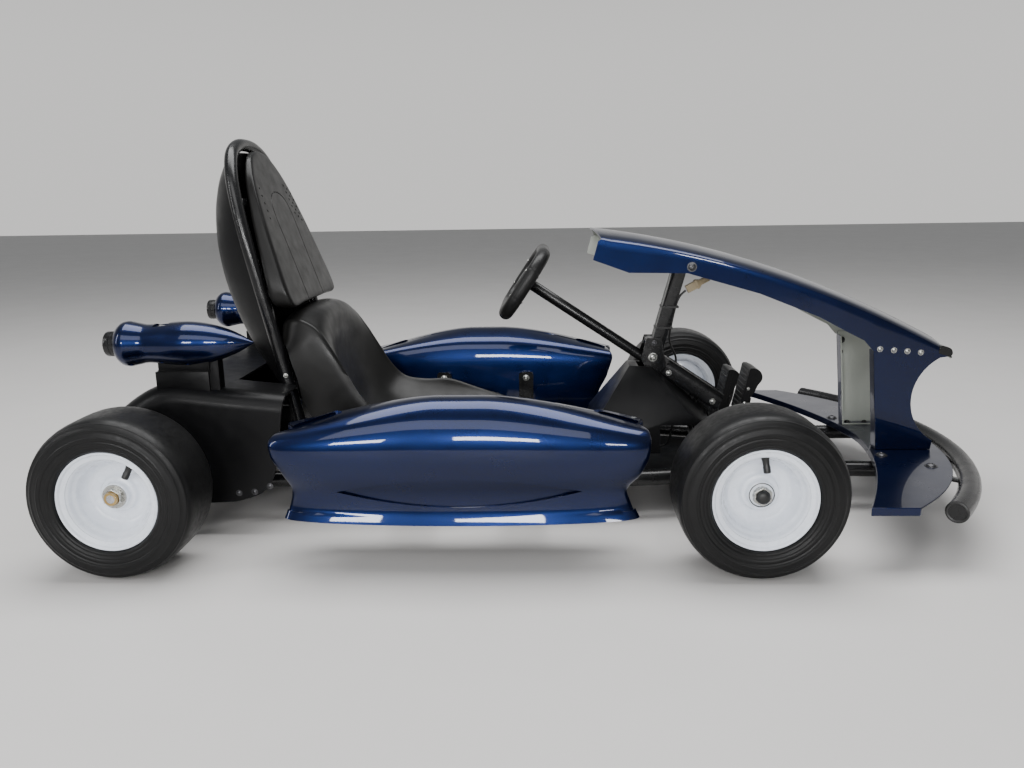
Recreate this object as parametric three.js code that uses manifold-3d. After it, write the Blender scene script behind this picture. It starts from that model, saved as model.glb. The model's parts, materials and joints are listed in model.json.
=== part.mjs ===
// Small electric drift kart: a tube chassis with a bucket seat, a steered front
// axle, a driven rear axle and coloured bodywork. Millimetres, +X forwards, +Y to
// the kart's left, +Z up. Everything is drawn from the point on the ground below the
// front axle, and the finished group is moved so that its footprint is centred.
import * as THREE from 'three';
import { ConvexGeometry } from 'three/addons/geometries/ConvexGeometry.js';
import { mergeVertices } from 'three/addons/utils/BufferGeometryUtils.js';
import Module from 'manifold-3d';

const wasm = await Module();
wasm.setup();

// ---- driving dimensions ----------------------------------------------------------
const wheelbase = 972;
const trackHalf = 367.5;         // wheel mid-plane from the centre line
const tyreRadius = 127;          // 10 inch tyre
const tyreHalfWidth = 57;
const rimFlangeRadius = 77.5;
const rimHalfWidth = 50;
const bumperReach = 449;         // bumper front, ahead of the front axle
const axleHeight = tyreRadius;
const rearX = -wheelbase;
const gap = 0.3;                 // clearance between touching pieces

const tubeRadius = 14;           // frame tube
const railY = 165;
const railZ = 75;
const rearAxleRadius = 12.5;
const stubRadius = 10;

const kingpinY = 288;
const kingpinRadius = 6;
const steeringArm = 75;          // kingpin to tie rod, rearwards
const armZ = 108;
const columnSlope = THREE.MathUtils.degToRad(33.6);
const columnRadius = 10;
const columnFoot = new THREE.Vector3(-30, 0, 194);
const columnLength = 388;        // foot to steering wheel
const pitmanLength = 45;

const hoopLean = 0.222;          // rearward shift for each millimetre of height
const hoopRadius = 11;
const hoopFootX = -760;
const hoopFootZ = 190;

const canopyHalfWidth = 98;
const sheetThickness = 3;
const podThickness = 4;

const thrusterX = -915;
const thrusterY = 217;
const thrusterZ = 332;

const sprocketY = -62;
const discY = 70;
const batteryFrontX = -776;
const motorX = -880;
const motorZ = 152;
const axleSprocketRadius = 48;
const motorSprocketRadius = 18;

const nosePlateZ = 103;
const bumperZ = 93;
const bumperTubeRadius = 17;
const bumperHalf = 375;

// ---- finishes ----------------------------------------------------------------------
const finish = (color, roughness, metalness) =>
  new THREE.MeshStandardMaterial({ color, roughness, metalness });
const paint = {
  blue: finish(0x0d2148, 0.16, 0.6),
  frame: finish(0x141414, 0.42, 0.4),
  plastic: finish(0x1b1b1c, 0.55, 0.0),
  vinyl: finish(0x252524, 0.6, 0.0),
  tyre: finish(0x18181a, 0.72, 0.0),
  rim: finish(0xe9edf4, 0.3, 0.1),
  steel: finish(0xb5b7b9, 0.3, 1.0),
  darkSteel: finish(0x55575a, 0.4, 1.0),
  aluminium: finish(0xa2a5a8, 0.35, 1.0),
  tan: finish(0xa89572, 0.55, 0.0),
};

// ---- small helpers -----------------------------------------------------------------
const at = (x, y, z) => new THREE.Vector3(x, y, z);
const flat = (x, y) => new THREE.Vector2(x, y);
const mix = THREE.MathUtils.lerp;

// A three.js geometry as a manifold-3d solid: only positions, with shared corners
// merged and triangles without area dropped.
function solidOf(geometry) {
  const bare = geometry.clone();
  bare.deleteAttribute('normal');
  bare.deleteAttribute('uv');
  const merged = mergeVertices(bare, 1e-4);
  const corners = merged.index.array;
  const kept = [];
  for (let i = 0; i < corners.length; i += 3) {
    const [a, b, c] = [corners[i], corners[i + 1], corners[i + 2]];
    if (a !== b && b !== c && c !== a) kept.push(a, b, c);
  }
  return new wasm.Manifold(new wasm.Mesh({
    numProp: 3,
    vertProperties: Float32Array.from(merged.attributes.position.array),
    triVerts: Uint32Array.from(kept),
  }));
}

function geometryOf(solid) {
  const mesh = solid.getMesh();
  const geometry = new THREE.BufferGeometry();
  geometry.setAttribute('position', new THREE.BufferAttribute(mesh.vertProperties, 3));
  geometry.setIndex(new THREE.BufferAttribute(mesh.triVerts, 1));
  geometry.computeVertexNormals();
  return geometry;
}

const join = (...pieces) => geometryOf(pieces.map(solidOf).reduce((a, b) => a.add(b)));
const cut = (piece, ...tools) =>
  geometryOf(tools.map(solidOf).reduce((a, b) => a.subtract(b), solidOf(piece)));
const common = (a, b) => geometryOf(solidOf(a).intersect(solidOf(b)));

// Box between two opposite corners.
function block(low, high) {
  const size = high.clone().sub(low);
  const middle = low.clone().add(high).multiplyScalar(0.5);
  return new THREE.BoxGeometry(size.x, size.y, size.z).translate(middle.x, middle.y, middle.z);
}

// Round bar between two points.
function bar(start, end, radius, sides = 16) {
  const along = end.clone().sub(start);
  const turn = new THREE.Quaternion().setFromUnitVectors(at(0, 1, 0), along.clone().normalize());
  const middle = start.clone().add(end).multiplyScalar(0.5);
  return new THREE.CylinderGeometry(radius, radius, along.length(), sides)
    .applyQuaternion(turn)
    .translate(middle.x, middle.y, middle.z);
}

// Solid of revolution about a line parallel to Y; the profile is [radius, y] pairs.
function turned(profile, segments) {
  return new THREE.LatheGeometry(profile.map(([r, y]) => flat(r, y)), segments);
}

// Tube along a smooth curve through the given points.
function bentTube(points, radius, steps, sides = 12) {
  const section = new THREE.Shape();
  section.absarc(0, 0, radius, 0, 2 * Math.PI);
  const path = new THREE.CatmullRomCurve3(points, false, 'centripetal');
  return new THREE.ExtrudeGeometry(section, {
    steps, extrudePath: path, curveSegments: sides / 2,
  });
}

// Outline of [x, z] pairs, extruded along Y between two values.
function sidePlate(outline, y0, y1) {
  const shape = new THREE.Shape(outline.map(([x, z]) => flat(x, z)));
  return new THREE.ExtrudeGeometry(shape, { depth: y1 - y0, bevelEnabled: false })
    .rotateX(Math.PI / 2)
    .translate(0, y1, 0);
}

// Outline of [x, y] pairs, extruded upwards between two heights.
function floorPlate(outline, z0, z1) {
  const shape = new THREE.Shape(outline.map(([x, y]) => flat(x, y)));
  return new THREE.ExtrudeGeometry(shape, { depth: z1 - z0, bevelEnabled: false })
    .translate(0, 0, z0);
}

// Closed skin of even thickness: grid is rows of points on its outer face, and the
// inner face lies behind it, away from the side that its normals point to.
function skin(grid, thickness) {
  const rows = grid.length;
  const columns = grid[0].length;
  const clampRow = (i) => Math.min(Math.max(i, 0), rows - 1);
  const clampColumn = (j) => Math.min(Math.max(j, 0), columns - 1);
  const inner = grid.map((row, i) => row.map((point, j) => {
    const alongRows = grid[clampRow(i + 1)][j].clone().sub(grid[clampRow(i - 1)][j]);
    const alongColumns = row[clampColumn(j + 1)].clone().sub(row[clampColumn(j - 1)]);
    const normal = alongRows.cross(alongColumns).normalize();
    return point.clone().addScaledVector(normal, -thickness);
  }));
  const points = [...grid.flat(), ...inner.flat()];
  const outerId = (i, j) => i * columns + j;
  const innerId = (i, j) => rows * columns + i * columns + j;
  const index = [];
  const quad = (a, b, c, d) => index.push(a, b, c, a, c, d);
  for (let i = 0; i < rows - 1; i += 1) {
    for (let j = 0; j < columns - 1; j += 1) {
      quad(outerId(i, j), outerId(i + 1, j), outerId(i + 1, j + 1), outerId(i, j + 1));
      quad(innerId(i, j), innerId(i, j + 1), innerId(i + 1, j + 1), innerId(i + 1, j));
    }
  }
  for (let i = 0; i < rows - 1; i += 1) {
    const last = columns - 1;
    quad(outerId(i, 0), innerId(i, 0), innerId(i + 1, 0), outerId(i + 1, 0));
    quad(outerId(i, last), outerId(i + 1, last), innerId(i + 1, last), innerId(i, last));
  }
  for (let j = 0; j < columns - 1; j += 1) {
    const last = rows - 1;
    quad(outerId(0, j), outerId(0, j + 1), innerId(0, j + 1), innerId(0, j));
    quad(outerId(last, j), innerId(last, j), innerId(last, j + 1), outerId(last, j + 1));
  }
  const geometry = new THREE.BufferGeometry().setFromPoints(points);
  geometry.setIndex(index);
  return geometry;
}

// Points across a mirrored section: columns from the right edge to the left edge.
function acrossY(half) {
  const right = half.map(([y, z, x]) => at(x, -y, z));
  const left = half.slice(0, -1).reverse().map(([y, z, x]) => at(x, y, z));
  return [...right, ...left];
}

const kart = new THREE.Group();
kart.position.x = (wheelbase + tyreRadius - bumperReach) / 2;

function add(name, geometry, material, parent = kart) {
  geometry.computeVertexNormals();
  const mesh = new THREE.Mesh(geometry, material);
  mesh.name = name;
  parent.add(mesh);
  return mesh;
}

const sides = [['left', 1], ['right', -1]];

// ---- frame -------------------------------------------------------------------------
const tailX = rearX - 62;
const bendX = -150;
const frontBendX = 60;
const hornX = 325;
const hornY = 120;
const podArmX = [-543, -358];
const podArmTopZ = 178;
const podArmY = 262;

// Side rail with the two outriggers that carry the side pod.
function addRail(name, side) {
  const rail = bentTube([
    at(tailX, side * railY, railZ),
    at(-500, side * railY, railZ),
    at(bendX, side * railY, railZ),
    at(frontBendX, side * hornY, railZ),
    at(hornX, side * hornY, railZ),
  ], tubeRadius, 14, 10);
  const arms = podArmX.flatMap((x) => [
    bar(at(x, side * railY, railZ), at(x, side * (podArmY - 2), railZ), 9, 10),
    block(
      at(x - 16, Math.min(side * podArmY, side * (podArmY - 5)), railZ - 9),
      at(x + 16, Math.max(side * podArmY, side * (podArmY - 5)), podArmTopZ),
    ),
  ]);
  add(name, join(rail, ...arms), paint.frame);
}
sides.forEach(([side, sign]) => addRail(`frame_rail_${side}`, sign));

// Cross tubes reach into the rails' inner sides with a small gap all round.
const crossHalf = railY - tubeRadius - gap;
const cradleTopZ = railZ + 7;
add('rear_cross_tube', join(
  bar(at(tailX + 20, -crossHalf, railZ), at(tailX + 20, crossHalf, railZ), 11),
  bar(at(motorX, -crossHalf, railZ), at(motorX, crossHalf, railZ), 11),
  block(at(tailX - 26, -50, railZ), at(tailX + 30, 50, railZ + 16)),
  ...sides.map(([, sign]) => block(
    at(tailX + 20, Math.min(sign * 20, sign * 34), railZ - 4),
    at(-770, Math.max(sign * 20, sign * 34), cradleTopZ),
  )),
), paint.frame);
add('seat_cross_tube', join(
  bar(at(-640, -crossHalf, railZ), at(-640, crossHalf, railZ), 11),
  bar(at(-420, -crossHalf, railZ), at(-420, crossHalf, railZ), 11),
  block(at(-645, -60, railZ - 4), at(-415, -30, railZ + 4)),
  block(at(-645, 30, railZ - 4), at(-415, 60, railZ + 4)),
), paint.frame);

// Front beam above the rails, with a kingpin yoke at each end, the saddles that sit on
// the rails, the feet of the steering tunnel and the shaft that both pedals swing on.
const beamZ = axleHeight - 23;
const yokeTopZ = axleHeight + 33;
const yokeLowZ = axleHeight - 33;
const yokeInnerY = kingpinY - 24;
const pedalShaftX = 40;
const pedalShaftZ = 112;
const pedalShaftHalf = 128;
function frontBeam() {
  const pieces = [
    bar(at(0, -yokeInnerY, beamZ), at(0, yokeInnerY, beamZ), tubeRadius),
    bar(at(pedalShaftX, -pedalShaftHalf, pedalShaftZ), at(pedalShaftX, pedalShaftHalf, pedalShaftZ), 6, 12),
  ];
  const holes = [];
  sides.forEach(([, sign]) => {
    const web = [sign * (yokeInnerY - 4), sign * (yokeInnerY + 4)].sort((a, b) => a - b);
    const reach = [sign * yokeInnerY, sign * (kingpinY + 12)].sort((a, b) => a - b);
    const ear = [sign * (pedalShaftHalf - 6), sign * pedalShaftHalf].sort((a, b) => a - b);
    pieces.push(
      block(at(-14, web[0], yokeLowZ - 6), at(14, web[1], yokeTopZ + 6)),
      block(at(-14, reach[0], yokeTopZ), at(14, reach[1], yokeTopZ + 6)),
      block(at(-14, reach[0], yokeLowZ - 6), at(14, reach[1], yokeLowZ)),
      block(at(-5, ear[0], beamZ - 6), at(pedalShaftX + 8, ear[1], pedalShaftZ + 8)),
    );
    holes.push(bar(
      at(0, sign * kingpinY, yokeLowZ - 20),
      at(0, sign * kingpinY, yokeTopZ + 20),
      kingpinRadius + gap,
      16,
    ));
  });
  return cut(join(...pieces), ...holes, ...railClearance());
}

// Room for the rails where the beam crosses them.
function railClearance() {
  return sides.map(([, sign]) => bentTube([
    at(-500, sign * railY, railZ),
    at(bendX, sign * railY, railZ),
    at(frontBendX, sign * hornY, railZ),
    at(hornX, sign * hornY, railZ),
  ], tubeRadius + 1.5, 12));
}
add('front_beam', frontBeam(), paint.frame);

add('floor_tray', join(
  floorPlate([[-330, -148], [-165, -148], [64, -104], [64, 104], [-165, 148], [-330, 148]], 62, 65),
  block(at(-330, -148, 62), at(-327, 148, 80)),
), paint.plastic);

// ---- rear axle and drive -----------------------------------------------------------
const axleHalf = trackHalf + 37;
const bearingZ0 = railZ + tubeRadius + gap;
const threadRadius = rearAxleRadius - 2;
const hubFaceY = trackHalf + 24;
add('rear_axle', join(
  bar(at(rearX, -hubFaceY, axleHeight), at(rearX, hubFaceY, axleHeight), rearAxleRadius, 24),
  bar(at(rearX, -axleHalf, axleHeight), at(rearX, axleHalf, axleHeight), threadRadius, 24),
), paint.steel);
sides.forEach(([side, sign]) => {
  const housing = join(
    block(at(rearX - 34, sign * railY - 12, bearingZ0), at(rearX + 34, sign * railY + 12, bearingZ0 + 12)),
    bar(at(rearX, sign * railY - 14, axleHeight), at(rearX, sign * railY + 14, axleHeight), 29, 24),
  );
  const bore = bar(
    at(rearX, sign * railY - 30, axleHeight),
    at(rearX, sign * railY + 30, axleHeight),
    rearAxleRadius + gap,
    24,
  );
  const floor = block(at(rearX - 60, sign * railY - 30, 60), at(rearX + 60, sign * railY + 30, bearingZ0));
  add(`axle_bearing_${side}`, cut(housing, bore, floor), paint.darkSteel);
});

// Toothed ring on a shaft parallel to Y.
function sprocket(x, z, y, radius, boreRadius, teeth, width) {
  const outline = new THREE.Shape();
  for (let i = 0; i < 2 * teeth; i += 1) {
    const angle = (i + 0.5) * Math.PI / teeth;
    const r = radius - (i % 2 ? 0 : 4);
    if (i === 0) outline.moveTo(r * Math.cos(angle), r * Math.sin(angle));
    else outline.lineTo(r * Math.cos(angle), r * Math.sin(angle));
  }
  outline.closePath();
  const bore = new THREE.Path();
  bore.absarc(0, 0, boreRadius, 0, 2 * Math.PI);
  outline.holes.push(bore);
  return new THREE.ExtrudeGeometry(outline, { depth: width, bevelEnabled: false, curveSegments: 12 })
    .rotateX(Math.PI / 2)
    .translate(x, y + width / 2, z);
}
add(
  'axle_sprocket',
  sprocket(rearX, axleHeight, sprocketY, axleSprocketRadius, rearAxleRadius + gap, 20, 6),
  paint.darkSteel,
);
add(
  'motor_sprocket',
  sprocket(motorX, motorZ, sprocketY, motorSprocketRadius, 6 + gap, 10, 6),
  paint.darkSteel,
);

// Chain as one closed band round both sprockets.
function chainBand() {
  const span = Math.hypot(motorX - rearX, motorZ - axleHeight);
  const tilt = Math.atan2(motorZ - axleHeight, motorX - rearX);
  const loop = (extra, Curve) => {
    const big = axleSprocketRadius + extra;
    const small = motorSprocketRadius + extra;
    const wrap = Math.acos((big - small) / span);
    const path = new Curve();
    path.absarc(0, 0, big, wrap, 2 * Math.PI - wrap);
    path.absarc(span, 0, small, -wrap, wrap);
    path.closePath();
    return path;
  };
  const outline = loop(7, THREE.Shape);
  outline.holes.push(loop(1.5, THREE.Path));
  return new THREE.ExtrudeGeometry(outline, { depth: 7, bevelEnabled: false, curveSegments: 10 })
    .rotateX(Math.PI / 2)
    .rotateY(-tilt)
    .translate(rearX, sprocketY + 3.5, axleHeight);
}
add('drive_chain', chainBand(), paint.darkSteel);

add('drive_motor', join(
  bar(at(motorX, -44, motorZ), at(motorX, 52, motorZ), 40, 20),
  bar(at(motorX, -70, motorZ), at(motorX, -44, motorZ), 6, 12),
  block(at(motorX - 30, -40, railZ + 11 + gap), at(motorX + 30, 48, motorZ - 24)),
), paint.darkSteel);
add('battery_pack', block(at(-828, -118, cradleTopZ + gap), at(batteryFrontX, 118, 200)), paint.plastic);
add('motor_controller', block(at(-1064, -48, railZ + 16 + gap), at(-1032, 48, 142)), paint.aluminium);

const brakeDisc = sprocket(rearX, axleHeight, discY, 50, rearAxleRadius + gap, 24, 5);
add('brake_disc', brakeDisc, paint.steel);
add('brake_caliper', cut(
  join(
    block(at(rearX - 52, discY - 16, axleHeight + 18), at(rearX - 14, discY + 16, axleHeight + 62)),
    block(at(rearX - 54, discY - 16, railZ + 11 + gap), at(rearX - 42, discY + 16, axleHeight + 62)),
  ),
  turned([[0, discY - 4], [52, discY - 4], [52, discY + 4], [0, discY + 4]], 24)
    .translate(rearX, 0, axleHeight),
), paint.darkSteel);

// ---- wheels ------------------------------------------------------------------------
const mirrored = (half) => [...half, ...half.slice(1, -1).reverse().map(([r, y]) => [r, -y])];
const tyreProfile = mirrored([
  [tyreRadius, 0], [125, 36], [115, 53], [98, tyreHalfWidth], [79, 50.5], [76.8, 46], [66.8, 43], [64.2, 0],
]);
// Pressed steel rim: outboard flange, drop centre, inboard flange, stepped disc.
const rimProfile = (bore) => [
  [bore, -24], [20, -24], [24, -6], [60, -2], [60, -38], [74, -rimHalfWidth], [rimFlangeRadius, -48.5],
  [66, -44], [63.2, -36], [63.2, 36], [66, 44], [rimFlangeRadius, 48.5], [74, rimHalfWidth], [60, 38],
  [60, 6], [24, 4], [20, 24], [bore, 24],
];
const closed = (profile) => [...profile, profile[0]];
const wheelFacets = 20;
const tyreGeometry = turned(closed(tyreProfile), wheelFacets);

function addWheel(corner, side, sign, x, bore) {
  const hub = new THREE.Group();
  hub.position.set(x, sign * trackHalf, axleHeight);
  hub.rotation.z = sign > 0 ? 0 : Math.PI;
  kart.add(hub);
  add(`${corner}_${side}_tyre`, tyreGeometry.clone(), paint.tyre, hub);
  add(`${corner}_${side}_rim`, turned(closed(rimProfile(bore)), wheelFacets), paint.rim, hub);
}
sides.forEach(([side, sign]) => {
  addWheel('front', side, sign, 0, stubRadius + gap);
  addWheel('rear', side, sign, rearX, rearAxleRadius + gap);
});

// Hexagon nut threaded on a shaft parallel to Y, just outboard of the rim hub.
function hubNut(x, sign, shaftRadius) {
  const near = hubFaceY + gap;
  const nut = bar(at(x, sign * near, axleHeight), at(x, sign * (near + 9), axleHeight), 15, 6);
  const hole = bar(
    at(x, sign * (near - 5), axleHeight),
    at(x, sign * (near + 20), axleHeight),
    shaftRadius + gap,
    24,
  );
  return cut(nut, hole);
}
sides.forEach(([side, sign]) => {
  add(`front_${side}_hub_nut`, hubNut(0, sign, stubRadius), paint.steel);
  add(`rear_${side}_hub_nut`, hubNut(rearX, sign, threadRadius), paint.steel);
});

// ---- steering ----------------------------------------------------------------------
const columnAlong = at(-Math.cos(columnSlope), 0, Math.sin(columnSlope));
const columnDown = at(-Math.sin(columnSlope), 0, -Math.cos(columnSlope));
// Point on the steering column, a distance up from its foot and out from its axis.
const onColumn = (up, down = 0) =>
  columnFoot.clone().addScaledVector(columnAlong, up).addScaledVector(columnDown, down);
const columnTilt = (geometry) => geometry.rotateY(columnSlope).translate(...columnFoot.toArray());

// Knuckle between the yoke's plates, with its kingpin, stub axle and steering arm.
function addSpindle(side, sign) {
  const armWidth = 8;
  const knuckle = join(
    block(
      at(-12, Math.min(sign * 278, sign * 300), yokeLowZ + gap),
      at(12, Math.max(sign * 278, sign * 300), yokeTopZ - gap),
    ),
    bar(at(0, sign * kingpinY, yokeLowZ - 9), at(0, sign * kingpinY, yokeTopZ + 9), kingpinRadius, 16),
    bar(at(0, sign * kingpinY, axleHeight), at(0, sign * (hubFaceY + 13), axleHeight), stubRadius, 24),
    block(
      at(-steeringArm, sign * kingpinY - armWidth, armZ - 4),
      at(0, sign * kingpinY + armWidth, armZ + 4),
    ),
    bar(at(-steeringArm, sign * kingpinY, armZ - 4), at(-steeringArm, sign * kingpinY, armZ + 4), 11, 16),
  );
  add(`front_${side}_spindle`, knuckle, paint.darkSteel);
}

const rodEyeZ = armZ + 4 + gap + 6;
const pitmanTip = onColumn(-15, pitmanLength);
function addTieRod(side, sign) {
  const outer = at(-steeringArm, sign * kingpinY, rodEyeZ);
  const inner = at(pitmanTip.x, sign * 17, pitmanTip.z);
  add(`tie_rod_${side}`, join(
    bar(at(outer.x, outer.y, rodEyeZ - 6), at(outer.x, outer.y, rodEyeZ + 6), 10, 16),
    bar(outer, inner, 5, 10),
    new THREE.SphereGeometry(7, 10, 8).translate(inner.x, inner.y, inner.z),
  ), paint.darkSteel);
}
sides.forEach(([side, sign]) => {
  addSpindle(side, sign);
  addTieRod(side, sign);
});

add('steering_column', join(
  bar(onColumn(-4), onColumn(columnLength - 12), columnRadius, 16),
  columnTilt(block(at(-4, -12, -pitmanLength), at(4, 12, 0))),
  columnTilt(bar(at(-4, 0, -pitmanLength), at(4, 0, -pitmanLength), 12, 16)),
), paint.frame);

// Oval wheel rim with a hub and three spokes, square to the column.
const wheelHalfWidth = 118;
const wheelHalfHeight = 60;
const wheelRimRadius = 14;
function steeringWheel() {
  const corner = 44;
  const outline = new THREE.Shape();
  outline.moveTo(-wheelHalfWidth, 0);
  outline.absarc(-wheelHalfWidth + corner, wheelHalfHeight - corner, corner, Math.PI, Math.PI / 2, true);
  outline.absarc(wheelHalfWidth - corner, wheelHalfHeight - corner, corner, Math.PI / 2, 0, true);
  outline.absarc(wheelHalfWidth - corner, -wheelHalfHeight + corner, corner, 0, -Math.PI / 2, true);
  outline.absarc(-wheelHalfWidth + corner, -wheelHalfHeight + corner, corner, -Math.PI / 2, -Math.PI, true);
  const ring = ringTube(outline.getSpacedPoints(24).slice(0, -1), wheelRimRadius, 8);
  const hub = new THREE.CylinderGeometry(26, 22, 24, 16).rotateX(Math.PI / 2).translate(0, 0, -2);
  const spoke = new THREE.BoxGeometry(2 * wheelHalfWidth, 26, 9);
  const lowSpoke = new THREE.BoxGeometry(30, wheelHalfHeight, 9).translate(0, -wheelHalfHeight / 2, 0);
  const bore = new THREE.CylinderGeometry(columnRadius + gap, columnRadius + gap, 20, 16)
    .rotateX(Math.PI / 2).translate(0, 0, -12);
  return cut(join(ring, hub, spoke, lowSpoke), bore)
    .applyMatrix4(new THREE.Matrix4().makeBasis(at(0, -1, 0), columnDown.clone().negate(), columnAlong))
    .translate(...onColumn(columnLength).toArray());
}

// Round tube along a closed flat outline of [x, y] points.
function ringTube(outline, radius, facets) {
  const count = outline.length;
  const points = outline.flatMap((point, i) => {
    const before = outline[(i + count - 1) % count];
    const after = outline[(i + 1) % count];
    const outward = flat(after.y - before.y, before.x - after.x).normalize();
    return Array.from({ length: facets }, (_, k) => {
      const angle = (2 * Math.PI * k) / facets;
      const reach = radius * Math.cos(angle);
      return at(point.x + outward.x * reach, point.y + outward.y * reach, radius * Math.sin(angle));
    });
  });
  const index = [];
  for (let i = 0; i < count; i += 1) {
    for (let k = 0; k < facets; k += 1) {
      const a = i * facets + k;
      const b = i * facets + ((k + 1) % facets);
      const c = ((i + 1) % count) * facets + ((k + 1) % facets);
      const d = ((i + 1) % count) * facets + k;
      index.push(a, b, c, a, c, d);
    }
  }
  const geometry = new THREE.BufferGeometry().setFromPoints(points);
  geometry.setIndex(index);
  return outwardFacing(geometry);
}

// The same skin with its triangles turned over if they enclose a negative volume.
function outwardFacing(geometry) {
  if (solidOf(geometry).volume() > 0) return geometry;
  const corners = geometry.index.array;
  for (let i = 0; i < corners.length; i += 3) {
    [corners[i], corners[i + 1]] = [corners[i + 1], corners[i]];
  }
  return geometry;
}
add('steering_wheel', steeringWheel(), paint.vinyl);

// Tunnel over the lower column: an upside-down channel, closed at its top by the
// column's bush and standing on two feet that reach the front beam.
const tunnelHalf = 20;
const tunnelTop = 100;
const tunnelFoot = -42;
const tunnelRise = 24;
function steeringTunnel() {
  const shell = columnTilt(block(at(-tunnelTop, -tunnelHalf, -22), at(-tunnelFoot, tunnelHalf, tunnelRise)));
  const hollow = columnTilt(block(
    at(-tunnelTop + 16, -tunnelHalf + 3, -40),
    at(-tunnelFoot + 5, tunnelHalf - 3, tunnelRise - 4),
  ));
  const feet = sides.map(([, sign]) => block(
    at(-4, Math.min(sign * (tunnelHalf - 3), sign * tunnelHalf), beamZ),
    at(8, Math.max(sign * (tunnelHalf - 3), sign * tunnelHalf), 166),
  ));
  const bore = bar(onColumn(60), onColumn(140), columnRadius + gap, 20);
  const beamRoom = bar(at(0, -40, beamZ), at(0, 40, beamZ), tubeRadius + gap, 16);
  const pitmanRoom = columnTilt(block(at(-9, -34, -60), at(9, 34, 3)));
  return cut(join(cut(shell, hollow), ...feet), bore, beamRoom, pitmanRoom);
}
add('steering_tunnel', steeringTunnel(), paint.frame);

// Pedal: a barrel on the pedal shaft, an arm, a tread plate and the block behind it.
// The brake's tread is set lower than the accelerator's by its drop.
function addPedal(name, y, drop) {
  const lowered = (outline) => outline.map(([x, z]) => [x, z - drop]);
  const barrel = bar(at(pedalShaftX, y - 14, pedalShaftZ), at(pedalShaftX, y + 14, pedalShaftZ), 11, 16);
  const arm = sidePlate([[33, 116], [47, 116], [56, 200 - drop], [42, 200 - drop]], y - 9, y + 9);
  const tread = sidePlate(lowered([[28, 176], [40, 176], [57.5, 259], [45.5, 259]]), y - 30, y + 30);
  const back = sidePlate(lowered([
    [42, 196], [50, 205], [57, 214], [62, 228], [68, 234], [70, 242], [67, 251], [60, 256.5], [50, 258],
  ]), y - 24, y + 24);
  const bore = bar(at(pedalShaftX, y - 20, pedalShaftZ), at(pedalShaftX, y + 20, pedalShaftZ), 6 + gap, 12);
  add(name, cut(join(barrel, arm, tread, back), bore), paint.plastic);
}
addPedal('accelerator_pedal', -80, 0);
addPedal('brake_pedal', 80, 36);

// ---- cockpit covers ------------------------------------------------------------------
// Hood between the driver's feet, a thin faceted shell below the steering tunnel.
function footwellHood() {
  const hull = (inset) => new ConvexGeometry(sides.flatMap(([, sign]) => [
    at(-158 + inset, sign * (27 - inset), 249 - inset),
    at(-115, sign * (27 - inset), 246 - inset),
    at(-inset, sign * (27 - inset), 156 - inset),
    at(-226 + inset, sign * (84 - inset), 150 - inset),
    at(-240 + inset, sign * (98 - inset), 100 - 2 * inset),
    at(-60, sign * (100 - inset), 178 - inset),
    at(20 - inset, sign * (104 - inset), 124 - inset),
    at(22 - inset, sign * (108 - inset), 100 - 2 * inset),
  ]));
  const shell = cut(hull(0), hull(3));
  const tunnelRoom = columnTilt(block(
    at(-tunnelTop - 1, -tunnelHalf - gap, -80),
    at(-tunnelFoot + 60, tunnelHalf + gap, tunnelRise + 30),
  ));
  const columnRoom = bar(onColumn(60), onColumn(300), columnRadius + 3, 16);
  const rodRoom = block(at(-108, -130, 90), at(60, 130, 152));
  const pedalRoom = block(at(-17, -130, 90), at(60, 130, 260));
  const mastRoom = block(at(-141, -24.5, 190), at(-84, 24.5, 300));
  const leadHole = bar(at(-62, 32, 244), at(-63, 40, 165), 5, 12);
  // Slot that the column's drop arm swings through at full lock.
  const armRoom = columnTilt(block(at(-6, -44, -62), at(6, 44, 0)));
  return cut(shell, tunnelRoom, columnRoom, rodRoom, pedalRoom, mastRoom, leadHole, armRoom);
}
add('footwell_hood', footwellHood(), paint.plastic);

// Seat bucket: rows run from the lip of the back down to the front of the pan, each
// given by its middle, its side bolster, the half width between the bolsters and the
// end of the flank, which reaches back to the hoop.
const seatRows = [
  { mid: [-786, 348], edge: [-784, 334], half: 110, flank: [-786, 304] },
  { mid: [-779, 364], edge: [-778, 346], half: 118, flank: [-783, 316] },
  { mid: [-748, 373], edge: [-756, 354], half: 132, flank: [-770, 324] },
  { mid: [-716, 364], edge: [-718, 342], half: 142, flank: [-766, 316] },
  { mid: [-706, 332], edge: [-692, 306], half: 146, flank: [-762, 294] },
  { mid: [-704, 290], edge: [-666, 266], half: 150, flank: [-752, 256] },
  { mid: [-692, 232], edge: [-640, 222], half: 152, flank: [-742, 210] },
  { mid: [-664, 174], edge: [-612, 196], half: 152, flank: [-722, 178] },
  { mid: [-610, 138], edge: [-572, 188], half: 152, flank: [-650, 150] },
  { mid: [-530, 124], edge: [-520, 188], half: 152, flank: [-540, 146] },
  { mid: [-450, 122], edge: [-456, 168], half: 150, flank: [-462, 138] },
  { mid: [-380, 128], edge: [-384, 146], half: 146, flank: [-394, 116] },
  { mid: [-338, 130], edge: [-340, 134], half: 138, flank: [-350, 104] },
  { mid: [-330, 112], edge: [-332, 116], half: 134, flank: [-342, 86] },
];
function seatGrid() {
  const shares = [1, 0.9, 0.72, 0.45, 0.2, 0];
  return seatRows.map(({ mid, edge, half, flank }) => {
    const inside = shares.map((share) => {
      const lift = share ** 3;
      return [share * half, mix(mid[1], edge[1], lift), mix(mid[0], edge[0], lift)];
    });
    return acrossY([[half + 4, flank[1], flank[0]], ...inside]);
  });
}
add('seat_bucket', skin(seatGrid(), 6), paint.vinyl);

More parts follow.
